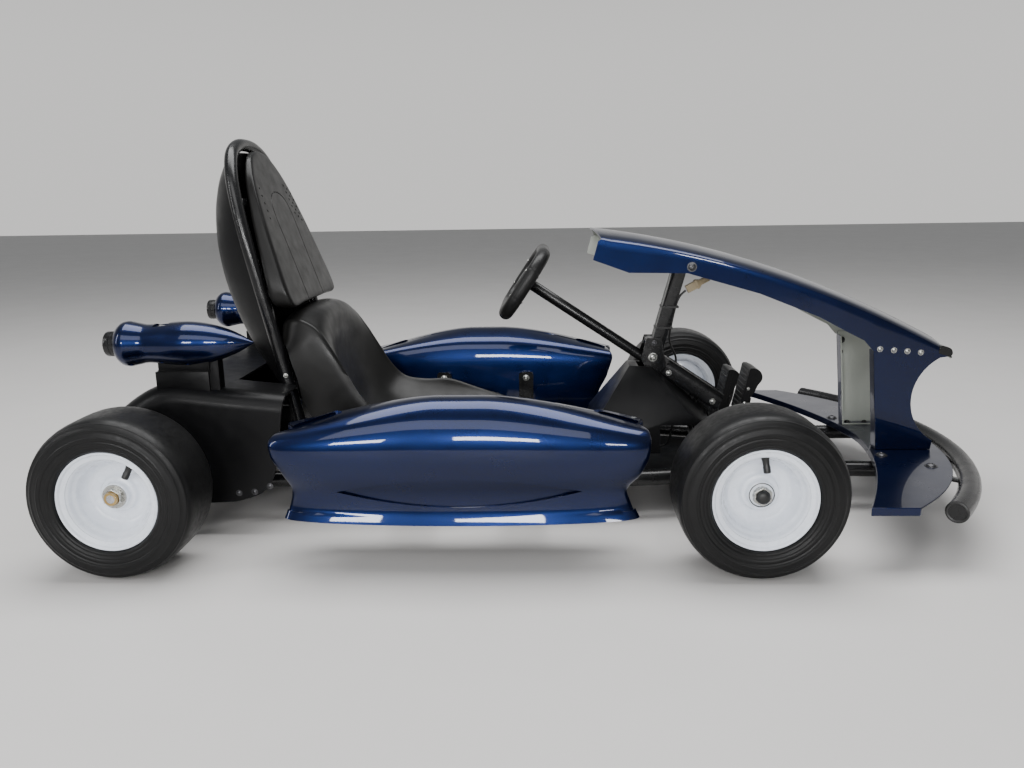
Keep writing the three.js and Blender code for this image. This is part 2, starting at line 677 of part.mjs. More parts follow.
// Backrest pad, in front of the hoop: its two leaning faces, and the heights of the two
// cross bars that hold it.
const padLowZ = 380;
const padTopZ = 650;
const padFrontX = (z) => -748.6 - 0.335 * (z - padLowZ);
const padBackX = (z) => -787 - 0.233 * (z - padLowZ);
const padBarZ = [[404, 138], [560, 128]];

// Hoop: an inverted U leaning back, with straight legs down to the rails.
const hoopX = (z) => hoopFootX - hoopLean * (z - hoopFootZ);
const hoopOutline = [
  [139, railZ + 30], [139, 300], [139, 420], [137, 500], [129, 560], [113, 606], [84, 640],
  [44, 657], [0, 661],
];
add('seat_hoop', join(
  bentTube(acrossY(hoopOutline.map(([y, z]) => [y, z, hoopX(z)])), hoopRadius, 24, 8),
  ...sides.map(([, sign]) => bar(
    at(hoopX(railZ + 34), sign * 139, railZ + 34),
    at(hoopX(railZ + 14), sign * 150, railZ + 17),
    hoopRadius,
    12,
  )),
  ...padBarZ.map(([z, half]) => block(
    at(hoopX(z) + 2, -half, z - 6),
    at(padBackX(z + 6) - gap, half, z + 6),
  )),
), paint.frame);


function backrestPad() {
  const half = [
    [0, padLowZ], [138, padLowZ], [149, 388], [152, 408], [138, 474], [122, 530], [98, 588], [77, 617],
    [47, 640],
    [0, padTopZ],
  ];
  const outline = [...half, ...half.slice(1, -1).reverse().map(([y, z]) => [-y, z])];
  const shape = new THREE.Shape(outline.map(([y, z]) => flat(y, z)));
  const bevel = 0.25;
  const geometry = new THREE.ExtrudeGeometry(shape, {
    depth: 1 - 2 * bevel, bevelThickness: bevel, bevelSize: 6, bevelOffset: -6, bevelSegments: 2,
  });
  const place = geometry.attributes.position;
  for (let i = 0; i < place.count; i += 1) {
    const [y, z, depth] = [place.getX(i), place.getY(i), place.getZ(i) + bevel];
    place.setXYZ(i, mix(padBackX(z), padFrontX(z), depth), y, z);
  }
  return geometry;
}
add('backrest_pad', backrestPad(), paint.vinyl);

// Shell behind the backrest: a dished panel inside the hoop that bulges rearwards.
const hoopHalfAt = (z) => {
  const above = hoopOutline.findIndex(([, height]) => height >= z);
  const [y0, z0] = hoopOutline[above - 1];
  const [y1, z1] = hoopOutline[above];
  return mix(y0, y1, (z - z0) / (z1 - z0));
};
const shellLowZ = 215;
const shellTopZ = 626;
function backShellGrid() {
  const rows = 11;
  const shares = [1, 0.85, 0.6, 0.3, 0];
  return Array.from({ length: rows }, (_, i) => {
    const z = mix(shellLowZ, shellTopZ, i / (rows - 1));
    const half = hoopHalfAt(z + 8) - hoopRadius - 3;
    const bulge = 98 * Math.sin(Math.PI * (z - 180) / 475) ** 0.6;
    return acrossY(shares.map((share) => [share * half, z, hoopX(z) - 4 - bulge * (1 - share ** 2.4)]));
  });
}
add('backrest_shell', skin(backShellGrid(), sheetThickness), paint.plastic);

// Rear cover over the drive: rounded at its shoulders, open below and in front, with
// slots for the axle and a recess for the backrest.
const coverHalf = 245;
const coverRound = 30;
function coverBody(inset) {
  const outline = [
    [-700, 238], [-758, 246], [-842, 254], [-941, 266], [-985, 256], [-1031, 226], [-1066, 192],
    [-1082, 140], [-1078, 90], [-1060, 20], [-700, 20],
  ];
  const shape = new THREE.Shape(outline.map(([x, z]) => flat(x, z)));
  return new THREE.ExtrudeGeometry(shape, {
    depth: 2 * (coverHalf - inset - coverRound),
    bevelThickness: coverRound,
    bevelSize: coverRound,
    bevelOffset: -coverRound - inset,
    bevelSegments: 3,
  }).rotateX(Math.PI / 2).translate(0, coverHalf - inset - coverRound, 0);
}
function rearCover() {
  const sideOutline = sidePlate([
    [-752, 290], [-752, 246], [-758, 200], [-775, 105], [-795, 78], [-838, 63], [-900, 60],
    [-1100, 60], [-1100, 290],
  ], -coverHalf - 10, coverHalf + 10);
  const axleSlots = sides.map(([, sign]) => block(
    at(rearX - 20, Math.min(sign * 200, sign * (coverHalf + 20)), 40),
    at(rearX + 20, Math.max(sign * 200, sign * (coverHalf + 20)), axleHeight + 20),
  ));
  return cut(
    common(coverBody(0), sideOutline),
    coverBody(3.5),
    block(at(-856, -154, 190), at(-690, 154, 300)),
    block(at(-1050, -coverHalf + 34, 0), at(-700, coverHalf - 34, 100)),
    ...axleSlots,
  );
}
add('rear_cover', rearCover(), paint.plastic);

// ---- thrusters -----------------------------------------------------------------------
// Torpedo on a pedestal, each side above the rear cover; profile is [radius, x].
const thrusterProfile = [
  [0, -800], [9, -814], [21, -838], [31, -868], [36.5, -905], [36, -930], [33, -962],
  [32.5, -980], [36, -998], [38, -1008], [36.5, -1017], [30, -1025], [22, -1028], [0, -1028],
];
const nozzleProfile = [
  [0, -1028.3], [19, -1028.3], [21, -1031], [21, -1044], [19.5, -1047], [16, -1046], [15.5, -1035],
  [0, -1034],
];
const alongX = (profile, y, segments) =>
  new THREE.LatheGeometry(profile.map(([r, x]) => flat(r, x)).reverse(), segments)
    .rotateZ(-Math.PI / 2).translate(0, y, thrusterZ);
sides.forEach(([side, sign]) => {
  const y = sign * thrusterY;
  const body = alongX(thrusterProfile, y, 16);
  add(`thruster_${side}`, body, paint.blue);
  add(`thruster_nozzle_${side}`, alongX(nozzleProfile, y, 16), paint.plastic);
  const pedestal = join(
    block(at(-966, y - 15, 225), at(-876, y + 15, 286)),
    block(at(-962, y - 13, 285), at(-874, y + 13, 289)),
    block(at(-960, y - 15, 288), at(-874, y + 15, 318)),
    block(at(-877, y - 11, 225), at(-860, y + 11, 312)),
  );
  const clearance = alongX(thrusterProfile.map(([r, x]) => [r === 0 ? 0 : r + 0.6, x]), y, 16);
  add(`thruster_pedestal_${side}`, cut(pedestal, clearance, coverBody(-gap)), paint.plastic);
});

// ---- canopy, mast and nose -----------------------------------------------------------
// Canopy: roof edge height follows one parabola; the roof is crowned above it and the
// skirts hang to a lower edge given by a few corners.
const canopyRearX = -232;
const canopyNoseX = 400;
const roofEdge = (x) => 445.2 - 0.2704 * x - 0.000339 * x * x;
const skirtCorners = [
  [-240, 455], [-169, 429], [-67, 427], [60, 390], [165, 348], [223, 317], [247, 305], [264, 286],
  [367, 271], [400, 276],
];
function skirtEdge(x) {
  const next = Math.max(1, skirtCorners.findIndex(([cornerX]) => cornerX >= x));
  const [x0, z0] = skirtCorners[next - 1];
  const [x1, z1] = skirtCorners[next];
  return mix(z0, z1, (x - x0) / (x1 - x0));
}
function canopyGrid() {
  const stations = [canopyRearX, -169, -67, 0, 60, 115, 165, 223, 247, 264, 315, 367, canopyNoseX];
  return stations.map((x) => {
    const edge = roofEdge(x);
    const skirt = skirtEdge(x);
    const crown = 15;
    const sweep = x === canopyRearX ? 14 : 0;
    const w = canopyHalfWidth;
    const noseDrop = Math.max(0, x - 385) * 0.3;
    return acrossY([
      [w, skirt, x],
      [w, edge - 4 - noseDrop, x + sweep],
      [w - 4, edge - noseDrop, x + sweep],
      [0.72 * w, edge + 0.5 * crown - noseDrop, x + 0.7 * sweep],
      [0.38 * w, edge + 0.87 * crown - noseDrop, x + 0.2 * sweep],
      [0, edge + crown - noseDrop, x],
    ]);
  });
}
add('canopy', join(
  skin(canopyGrid(), sheetThickness),
  block(
    at(canopyNoseX - 4, -canopyHalfWidth + 1, 276.5),
    at(canopyNoseX - 0.5, canopyHalfWidth - 1, roofEdge(canopyNoseX) - 6),
  ),
), paint.blue);

// Mast: square tube leaning forwards from the steering tunnel to the canopy, with a
// cross tube between the skirts and gusset plates beside its foot.
const mastFoot = at(-113, 0, 252);
const mastHead = at(-61, 0, 446);
function mast() {
  const lean = Math.atan2(mastHead.x - mastFoot.x, mastHead.z - mastFoot.z);
  const height = mastFoot.distanceTo(mastHead);
  const post = new THREE.BoxGeometry(24, 30, height).rotateY(lean)
    .translate(...mastFoot.clone().add(mastHead).multiplyScalar(0.5).toArray());
  const crossHalfWidth = canopyHalfWidth - sheetThickness - 1;
  const gussets = sides.map(([, sign]) => sidePlate(
    [[-136, 262], [-126, 240], [-97, 222], [-88, 244], [-98, 300], [-126, 300]],
    Math.min(sign * (tunnelHalf + gap), sign * (tunnelHalf + 3.5)),
    Math.max(sign * (tunnelHalf + gap), sign * (tunnelHalf + 3.5)),
  ));
  const strap = block(at(-126, -tunnelHalf - 3.5, 288), at(-98, tunnelHalf + 3.5, 299));
  const piece = join(
    post,
    bar(at(-58, -crossHalfWidth, 436), at(-58, crossHalfWidth, 436), 9, 12),
    strap,
    ...gussets,
  );
  const tunnelRoom = columnTilt(block(
    at(-tunnelTop - 40, -tunnelHalf - gap / 2, -60),
    at(-tunnelFoot + 40, tunnelHalf + gap / 2, tunnelRise + gap),
  ));
  return cut(piece, tunnelRoom);
}
add('canopy_mast', mast(), paint.frame);

// Lead of the canopy's light: a plug in front of the mast with its short tail to the
// roof, then one cable down the mast's front side, through the hood, along the floor
// and over the seat's cross tubes to the battery pack.
const leadRadius = 2;
const leadSides = 8;
const plugLow = at(-51, 0, 388);
const plugHigh = at(-11, 0, 409);
const hoodHole = at(-62, 35, 208);
const leadRoute = [
  plugLow.clone().add(at(-1.5, 0, -1.5)),
  at(-64, 0, 374),
  at(-77, 0, 325),
  at(-79, 6, 290),
  at(-64, 20, 254),
  hoodHole,
  at(-63, 38, 180),
  at(-64, 40, 110),
  at(-76, 41, 74),
  at(-110, 42, 69),
  at(-200, 42, 69),
  at(-290, 42, 73),
  at(-330, 42, 87),
  at(-380, 42, 91),
  at(-500, 42, 91),
  at(-640, 42, 92),
  at(-730, 42, 96),
  at(batteryFrontX + gap, 42, 98),
];
add('canopy_lead', bentTube(leadRoute, leadRadius, 50, leadSides), paint.plastic);

function leadConnector() {
  const along = plugHigh.clone().sub(plugLow);
  const tilt = Math.atan2(along.z, along.x);
  const half = along.length() / 2;
  const housing = join(
    block(at(-half, -6, -7), at(4, 6, 7)),
    block(at(3, -5, -5), at(half, 5, 5)),
    block(at(-4, -7.5, -8.5), at(1, 7.5, 8.5)),
  ).rotateY(-tilt).translate(...plugLow.clone().add(plugHigh).multiplyScalar(0.5).toArray());
  const tail = bentTube([
    plugHigh.clone().add(at(-6, 0, -3)), at(-3, 0, 419), at(4, 0, 434), at(6, 0, 450),
  ], leadRadius, 5, leadSides);
  return join(housing, tail);
}
add('lead_connector', leadConnector(), paint.tan);

// Uprights between the nose plate and the canopy: a plate with a hollowed front edge,
// a rear flange, and a foot and a head flange folded inwards.
function addUpright(side, sign) {
  const outerY = canopyHalfWidth - sheetThickness - 0.5;
  const plateY = [sign * (outerY - 3), sign * outerY].sort((a, b) => a - b);
  const foldY = [sign * (outerY - 22), sign * outerY].sort((a, b) => a - b);
  const z0 = nosePlateZ + gap;
  const hollow = Array.from({ length: 9 }, (_, i) => {
    const angle = mix(1.05, -1.05, i / 8);
    return [427 - 88 * Math.cos(angle), 196 + 88 * Math.sin(angle)];
  });
  const outline = [[283, z0], [266, 282], [268, 292], [364, 289], ...hollow, [381, z0]];
  add(`upright_${side}`, join(
    sidePlate(outline, ...plateY),
    sidePlate([[283, z0], [266, 286], [269, 286], [286, z0]], ...foldY),
    block(at(284, foldY[0], z0), at(378, foldY[1], z0 + 3)),
  ), paint.blue);
}
sides.forEach(([side, sign]) => addUpright(side, sign));

// Nose plate: a crescent in plan with its rear and side edges folded down.
function noseOutline(inset, frontExtra) {
  const rear = Array.from({ length: 13 }, (_, i) => {
    const y = mix(-383 + inset, 383 - inset, i / 12);
    return [284 + inset - 6.9e-3 * Math.abs(y) ** 1.64, y];
  });
  const front = Array.from({ length: 13 }, (_, i) => {
    const y = mix(383 - inset, -383 + inset, i / 12);
    return [407 + frontExtra - 1.6e-5 * Math.abs(y) ** 2.7 - 0.05 * Math.abs(y), y];
  });
  return [...rear, ...front];
}
add('nose_plate', cut(
  floorPlate(noseOutline(0, 0), nosePlateZ - 13, nosePlateZ),
  floorPlate(noseOutline(3, 6), nosePlateZ - 30, nosePlateZ - 3),
), paint.blue);

// Bumper: one bent tube around the nose on two straps that lie under the nose plate.
const bumperArc = Array.from({ length: 11 }, (_, i) => {
  const y = mix(-bumperHalf, bumperHalf, i / 10);
  const radius = 580;
  return at(bumperReach - bumperTubeRadius - radius + Math.sqrt(radius ** 2 - y ** 2), y, bumperZ);
});
add('front_bumper', join(
  bentTube(bumperArc, bumperTubeRadius, 14, 12),
  ...sides.map(([, sign]) => floorPlate(
    [[300, sign * hornY - 14], [424, sign * hornY - 14], [424, sign * hornY + 14], [300, sign * hornY + 14]],
    nosePlateZ - 12,
    nosePlateZ - 8,
  )),
), paint.frame);

// ---- side pods -----------------------------------------------------------------------
// Open-ended shells; share runs from the inner lower edge over the top to the outer
// lower edge, and each end is scalloped.
const podRearX = -737;
const podFrontX = -161;
const podSection = [
  // [y, z] at mid length, then how far the rear and front ends step in
  [268, 76, 26, 22],
  [266, 118, 26, 34],
  [268, 165, 14, 14],
  [273, 214, 4, 2],
  [284, 243, 10, 6],
  [304, 257, 18, 10],
  [336, 268, 36, 18],
  [362, 264, 30, 14],
  [384, 244, 8, 3],
  [397, 214, 0, 0],
  [400, 184, 4, 2],
  [392, 152, 18, 14],
  [381, 124, 27, 33],
  [379, 100, 22, 26],
  [386, 76, 14, 14],
];
// How far the crest sinks towards the ends; it is level between the two shares.
const podCrest = [0.42, 0.55];
function podSag(t) {
  const [rearShare, frontShare] = podCrest;
  return t < rearShare
    ? 52 * ((rearShare - t) / rearShare) ** 1.6
    : 48 * (Math.max(0, t - frontShare) / (1 - frontShare)) ** 1.6;
}
function podGrid(sign) {
  const steps = 10;
  return Array.from({ length: steps + 1 }, (_, i) => {
    const t = 0.5 - 0.5 * Math.cos(Math.PI * i / steps);
    const bow = Math.sin(Math.PI * t) ** 0.4;
    const row = podSection.map(([y, z, rearStep, frontStep]) => {
      const x = mix(podRearX + rearStep, podFrontX - frontStep, t);
      const droop = podSag(t) * (Math.max(0, z - 170) / 100) ** 2;
      const waist = (y > 330 ? -24 : 10) * (1 - bow);
      return at(x, y + waist, z - droop + (z < 90 ? 6 * (1 - bow) : 0));
    });
    return sign > 0 ? row : row.map((point) => at(point.x, -point.y, point.z)).reverse();
  });
}
sides.forEach(([side, sign]) => add(`side_pod_${side}`, skin(podGrid(sign), podThickness), paint.blue));

export default kart;
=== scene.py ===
import json
import math

import bpy
import bmesh
from mathutils import Matrix, Vector


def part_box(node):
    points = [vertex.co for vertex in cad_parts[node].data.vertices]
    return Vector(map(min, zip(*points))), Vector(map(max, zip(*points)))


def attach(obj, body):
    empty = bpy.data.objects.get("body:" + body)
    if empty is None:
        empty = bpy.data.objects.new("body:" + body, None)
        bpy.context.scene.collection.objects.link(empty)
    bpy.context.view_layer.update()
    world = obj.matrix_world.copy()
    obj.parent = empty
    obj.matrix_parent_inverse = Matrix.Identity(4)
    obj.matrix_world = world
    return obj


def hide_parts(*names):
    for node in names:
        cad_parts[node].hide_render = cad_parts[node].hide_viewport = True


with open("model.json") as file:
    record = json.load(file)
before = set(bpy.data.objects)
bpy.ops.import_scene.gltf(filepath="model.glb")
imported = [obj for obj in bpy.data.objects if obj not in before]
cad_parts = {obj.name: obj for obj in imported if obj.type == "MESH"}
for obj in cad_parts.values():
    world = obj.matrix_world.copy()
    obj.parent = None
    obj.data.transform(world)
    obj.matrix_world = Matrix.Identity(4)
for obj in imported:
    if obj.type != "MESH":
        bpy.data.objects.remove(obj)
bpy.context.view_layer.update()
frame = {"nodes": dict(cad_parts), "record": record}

# Lengths below are millimetres from the ground point under the front axle, +X forwards,
# +Y to the kart's left, +Z up; place() turns them into metres in the shared frame.
MM = 0.001
SIDES = (("left", 1), ("right", -1))
record = frame["record"]
body_of = {node: body for body, nodes in record["behaviour"]["bodies"].items() for node in nodes}
slot_of = {row["node"]: row["material_slot"] for row in record["subparts"]}


def middle(node):
    low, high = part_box(node)
    return (low + high) / 2


front_wheel = middle("front_left_tyre")
AXLE_Z = front_wheel.z / MM
TRACK_HALF = front_wheel.y / MM
REAR_X = (middle("rear_left_tyre").x - front_wheel.x) / MM


def place(point):
    return Vector((front_wheel.x + point[0] * MM, point[1] * MM, point[2] * MM))


def local_box(node):
    """Lowest and highest corner of a CAD node in this script's millimetres."""
    low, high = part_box(node)
    shift = Vector((front_wheel.x, 0, 0))
    return (low - shift) / MM, (high - shift) / MM


# ---- camera ------------------------------------------------------------------------
CAMERA_PLACE = (-323.1, -1546.2, 559.7)
CAMERA_PITCH = math.radians(12.775)
CAMERA_YAW = math.radians(2.127)
CAMERA_ROLL = math.radians(0.878)
CAMERA_LENS = 28.83


def add_camera():
    forward = Vector((
        -math.sin(CAMERA_YAW) * math.cos(CAMERA_PITCH),
        math.cos(CAMERA_YAW) * math.cos(CAMERA_PITCH),
        -math.sin(CAMERA_PITCH),
    ))
    level = Vector((math.cos(CAMERA_YAW), math.sin(CAMERA_YAW), 0))
    down = forward.cross(level)
    right = math.cos(CAMERA_ROLL) * level + math.sin(CAMERA_ROLL) * down
    below = math.cos(CAMERA_ROLL) * down - math.sin(CAMERA_ROLL) * level
    data = bpy.data.cameras.new("camera")
    data.lens = CAMERA_LENS
    data.sensor_width = 36
    data.clip_start = 0.01
    camera = bpy.data.objects.new("camera", data)
    turn = Matrix((right, -below, -forward)).transposed().to_4x4()
    camera.matrix_world = Matrix.Translation(place(CAMERA_PLACE)) @ turn
    bpy.context.scene.collection.objects.link(camera)
    bpy.context.scene.camera = camera


add_camera()

# ---- shapes: lists of points and faces -----------------------------------------------


def merged(*shapes):
    points, faces = [], []
    for more_points, more_faces in shapes:
        start = len(points)
        points.extend(more_points)
        faces.extend([tuple(start + i for i in face) for face in more_faces])
    return points, faces


def block(low, high):
    xs, ys, zs = zip(low, high)
    points = [Vector((x, y, z)) for x in xs for y in ys for z in zs]
    faces = [(0, 1, 3, 2), (4, 6, 7, 5), (0, 4, 5, 1), (2, 3, 7, 6), (0, 2, 6, 4), (1, 5, 7, 3)]
    return points, faces


def smooth_line(points, per_span=6, closed=False):
    """Centripetal Catmull-Rom curve through the points."""
    points = [Vector(p) for p in points]
    count = len(points)
    line = []
    for i in range(count if closed else count - 1):
        b, c = points[i], points[(i + 1) % count]
        a = points[i - 1] if closed or i > 0 else b * 2 - c
        d = points[(i + 2) % count] if closed or i < count - 2 else c * 2 - b
        t1 = max((b - a).length, 1e-6) ** 0.5
        t2 = t1 + max((c - b).length, 1e-6) ** 0.5
        t3 = t2 + max((d - c).length, 1e-6) ** 0.5
        for k in range(per_span):
            t = t1 + (t2 - t1) * k / per_span
            ab = a * ((t1 - t) / t1) + b * (t / t1)
            bc = b * ((t2 - t) / (t2 - t1)) + c * ((t - t1) / (t2 - t1))
            cd = c * ((t3 - t) / (t3 - t2)) + d * ((t - t2) / (t3 - t2))
            abc = ab * ((t2 - t) / t2) + bc * (t / t2)
            bcd = bc * ((t3 - t) / (t3 - t1)) + cd * ((t - t1) / (t3 - t1))
            line.append(abc * ((t2 - t) / (t2 - t1)) + bcd * ((t - t1) / (t2 - t1)))
    if not closed:
        line.append(points[-1])
    return line


def rounded(outline, radius, steps=5, closed=True):
    """The outline with its corners turned into short curves."""
    outline = [Vector((*p, 0)) if len(p) == 2 else Vector(p) for p in outline]
    count = len(outline)
    line = []
    for i, corner in enumerate(outline):
        if not closed and i in (0, count - 1):
            line.append(corner)
            continue
        before, after = outline[i - 1] - corner, outline[(i + 1) % count] - corner
        start = corner + before.normalized() * min(radius, 0.48 * before.length)
        end = corner + after.normalized() * min(radius, 0.48 * after.length)
        for k in range(steps + 1):
            t = k / steps
            line.append(start * (1 - t) ** 2 + corner * (2 * t * (1 - t)) + end * t ** 2)
    return line


def lofted(rings):
    """Closed solid through rings that have equally many points; its ends are flat."""
    count = len(rings[0])
    points = [p for ring in rings for p in ring]
    faces = [tuple(reversed(range(count))), tuple(range(len(points) - count, len(points)))]
    for i in range(len(rings) - 1):
        for k in range(count):
            a, b = i * count + k, i * count + (k + 1) % count
            faces.append((a, b, b + count, a + count))
    return points, faces


def tube(line, radius, sides=20):
    """Round bar along a line; its ends are flat caps."""
    line = [Vector(p) for p in line]
    heading = (line[1] - line[0]).normalized()
    across = heading.orthogonal().normalized()
    rings = []
    for i, centre in enumerate(line):
        ahead = line[min(i + 1, len(line) - 1)] - line[max(i - 1, 0)]
        turn = heading.rotation_difference(ahead.normalized())
        across = (turn @ across).normalized()
        heading = ahead.normalized()
        other = heading.cross(across)
        angles = [2 * math.pi * k / sides for k in range(sides)]
        rings.append([centre + (across * math.cos(a) + other * math.sin(a)) * radius for a in angles])
    return lofted(rings)


def bar(start, end, radius, sides=24):
    return tube([start, end], radius, sides)


def lathe(profile, centre, axis, segments=96):
    """Solid of revolution; profile is (radius, distance along the axis). It is a closed
    loop unless both its ends have radius 0."""
    def ring(r, along):
        spots = []
        for k in range(segments):
            angle = 2 * math.pi * k / segments
            c, s = r * math.cos(angle), r * math.sin(angle)
            offset = (along, c, s) if axis == "X" else (c, along, s)
            spots.append(Vector(centre) + Vector(offset))
        return spots
    open_ends = profile[0][0] == 0 and profile[-1][0] == 0
    rows = [ring(r, along) for r, along in (profile[1:-1] if open_ends else profile)]
    points = [p for row in rows for p in row]
    faces = []
    for i in range(len(rows) - (1 if open_ends else 0)):
        for k in range(segments):
            a, b = i * segments + k, i * segments + (k + 1) % segments
            c, d = [((j // segments + 1) % len(rows)) * segments + j % segments for j in (b, a)]
            faces.append((a, b, c, d))
    if open_ends:
        for end, first in ((profile[0], 0), (profile[-1], len(rows) - 1)):
            offset = (end[1], 0, 0) if axis == "X" else (0, end[1], 0)
            points.append(Vector(centre) + Vector(offset))
            tip = len(points) - 1
            faces.extend(
                (first * segments + k, first * segments + (k + 1) % segments, tip) for k in range(segments)
            )
    return points, faces


def prism(outline, plane, low, high):
    """Flat outline in the plane "xz" or "xy", extruded between two distances."""
    def spot(a, b, c):
        return Vector((a, c, b) if plane == "xz" else (a, b, c))
    return lofted([[spot(p[0], p[1], distance) for p in outline] for distance in (low, high)])


def stitched(rows, columns):
    """Faces of a closed body whose front is a grid of points and whose back is a second one."""
    back = rows * columns
    faces = []
    for i in range(rows - 1):
        for j in range(columns - 1):
            a, b = i * columns + j, i * columns + j + 1
            faces.append((a, a + columns, b + columns, b))
            faces.append((back + a, back + b, back + b + columns, back + a + columns))
    rim = list(range(columns)) + [i * columns + columns - 1 for i in range(1, rows)]
    rim += [(rows - 1) * columns + j for j in range(columns - 2, -1, -1)]
    rim += [i * columns for i in range(rows - 2, 0, -1)]
    for k, a in enumerate(rim):
        b = rim[(k + 1) % len(rim)]
        faces.append((a, b, back + b, back + a))
    return faces


def skin(grid, thickness):
    """Closed skin of even thickness behind a grid of points."""
    rows, columns = len(grid), len(grid[0])
    inner = []
    for i in range(rows):
        for j in range(columns):
            along = grid[min(i + 1, rows - 1)][j] - grid[max(i - 1, 0)][j]
            over = grid[i][min(j + 1, columns - 1)] - grid[i][max(j - 1, 0)]
            inner.append(grid[i][j] - along.cross(over).normalized() * thickness)
    return [p for row in grid for p in row] + inner, stitched(rows, columns)


def refined(grid, per_row, per_column):
    wide = [smooth_line(row, per_column) for row in grid]
    columns = [smooth_line(column, per_row) for column in zip(*wide)]
    return [list(row) for row in zip(*columns)]


def mirrored_row(half):
    """Row of (y, z, x) from the right edge to the middle, completed to the left edge."""
    right = [Vector((x, -y, z)) for y, z, x in half]
    left = [Vector((x, y, z)) for y, z, x in reversed(half[:-1])]
    return right + left


def mix(a, b, t):
    return a + (b - a) * t


def aimed(profile, spot, direction, segments):
    """Solid of revolution that starts at a spot and points in any direction."""
    turn = Vector((1, 0, 0)).rotation_difference(Vector(direction).normalized())
    points, faces = lathe(profile, (0, 0, 0), "X", segments)
    return [turn @ p + Vector(spot) for p in points], faces


def bolt_shape(spot, outward, radius, height, recess=True):
    """Button head on a washer, facing outward, with a socket unless recess is False."""
    profile = [(0, 0), (radius * 1.32, 0), (radius * 1.32, 0.12 * height), (radius, 0.14 * height)]
    profile += [
        (radius * math.cos(a), height * (0.25 + 0.75 * math.sin(a)))
        for a in [math.radians(10 + 13 * k) for k in range(5)]
    ]
    top = height * 0.93
    if recess:
        profile += [(radius * 0.42, top), (radius * 0.36, top - 0.45 * height), (0, top - 0.5 * height)]
    else:
        profile += [(0, height)]
    return aimed(profile, spot, outward, 24)


# ---- objects ---------------------------------------------------------------------------


def mesh_object(name, shape):
    mesh = bpy.data.meshes.new(name)
    mesh.from_pydata([place(p) for p in shape[0]], [], shape[1])
    work = bmesh.new()
    work.from_mesh(mesh)
    bmesh.ops.recalc_face_normals(work, faces=work.faces)
    work.to_mesh(mesh)
    work.free()
    obj = bpy.data.objects.new(name, mesh)
    bpy.context.scene.collection.objects.link(obj)
    return obj


def shade(obj, angle=38):
    obj.data.polygons.foreach_set("use_smooth", [True] * len(obj.data.polygons))
    obj.data.set_sharp_from_angle(angle=math.radians(angle))
    obj.data.update()


def soften(obj, width, segments=3, angle=32):
    """Rounds the sharp edges by a bevel of that width in millimetres."""
    bevel = obj.modifiers.new("soft_edges", "BEVEL")
    bevel.width = width * MM
    bevel.segments = segments
    bevel.limit_method = "ANGLE"
    bevel.angle_limit = math.radians(angle)
    bevel.harden_normals = True
    obj.data.polygons.foreach_set("use_smooth", [True] * len(obj.data.polygons))
    obj.data.set_sharp_from_angle(angle=math.radians(80))


def carved(obj, tools, operation="DIFFERENCE"):
    """Cuts the tool shapes out of a mesh object, or keeps only what they share."""
    helpers = [mesh_object("cutter", tool) for tool in tools]
    for helper in helpers:
        cut = obj.modifiers.new("cut", "BOOLEAN")
        cut.operation = operation
        cut.solver = "EXACT"
        cut.object = helper
    graph = bpy.context.evaluated_depsgraph_get()
    result = bpy.data.meshes.new_from_object(obj.evaluated_get(graph))
    obj.modifiers.clear()
    obj.data = result
    for helper in helpers:
        bpy.data.objects.remove(helper)
    return obj


def finish_piece(obj, like, slot=None, stands_for=()):
    """Gives a piece the body of a CAD node and the material of that node's slot, or of the slot given, and
    hides what it replaces.
    """
    slot = slot or slot_of[like]
    obj.data.materials.clear()
    obj.data.materials.append(MATERIALS[slot])
    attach(obj, body_of[like])
    if stands_for:
        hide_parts(*stands_for)
    return obj


def piece(name, shape, like, slot=None, stands_for=(), bevel=0, segments=3, angle=38):
    obj = mesh_object(name, shape)
    if bevel:
        soften(obj, bevel, segments)
    else:
        shade(obj, angle)
    return finish_piece(obj, like, slot, stands_for)


def add_bolts(name, spots, outward, radius, height, like, slot="zinc_steel", recess=True):
    """Bolt heads that face one way, as one piece."""
    heads = [bolt_shape(spot, outward, radius, height, recess) for spot in spots]
    piece(name, merged(*heads), like, slot=slot)


def keep_cad(node, bevel=0.6, segments=2):
    """A CAD node that stays: its edges are softened and it takes its slot's material."""
    obj = frame["nodes"][node]
    weld = obj.modifiers.new("weld", "WELD")
    weld.merge_threshold = 0.02 * MM
    soften(obj, bevel, segments)
    obj.data.materials.clear()
    obj.data.materials.append(MATERIALS[slot_of[node]])


# ---- materials -------------------------------------------------------------------------


def feed(tree, node, inputs):
    """Sets a node's inputs to plain values, or links them to the sockets given."""
    for name, value in inputs.items():
        if isinstance(value, bpy.types.NodeSocket):
            tree.links.new(value, node.inputs[name])
        else:
            node.inputs[name].default_value = value


def add_node(tree, kind, inputs, **settings):
    node = tree.nodes.new("ShaderNode" + kind)
    for name, value in settings.items():
        setattr(node, name, value)
    feed(tree, node, inputs)
    return node.outputs


def mixed(tree, share, first, second, blend="MIX"):
    """Colour between two others; the Mix node's colours are its sockets 6 and 7."""
    inputs = {0: share, 6: first, 7: second}
    return add_node(tree, "Mix", inputs, data_type="RGBA", blend_type=blend)[2]


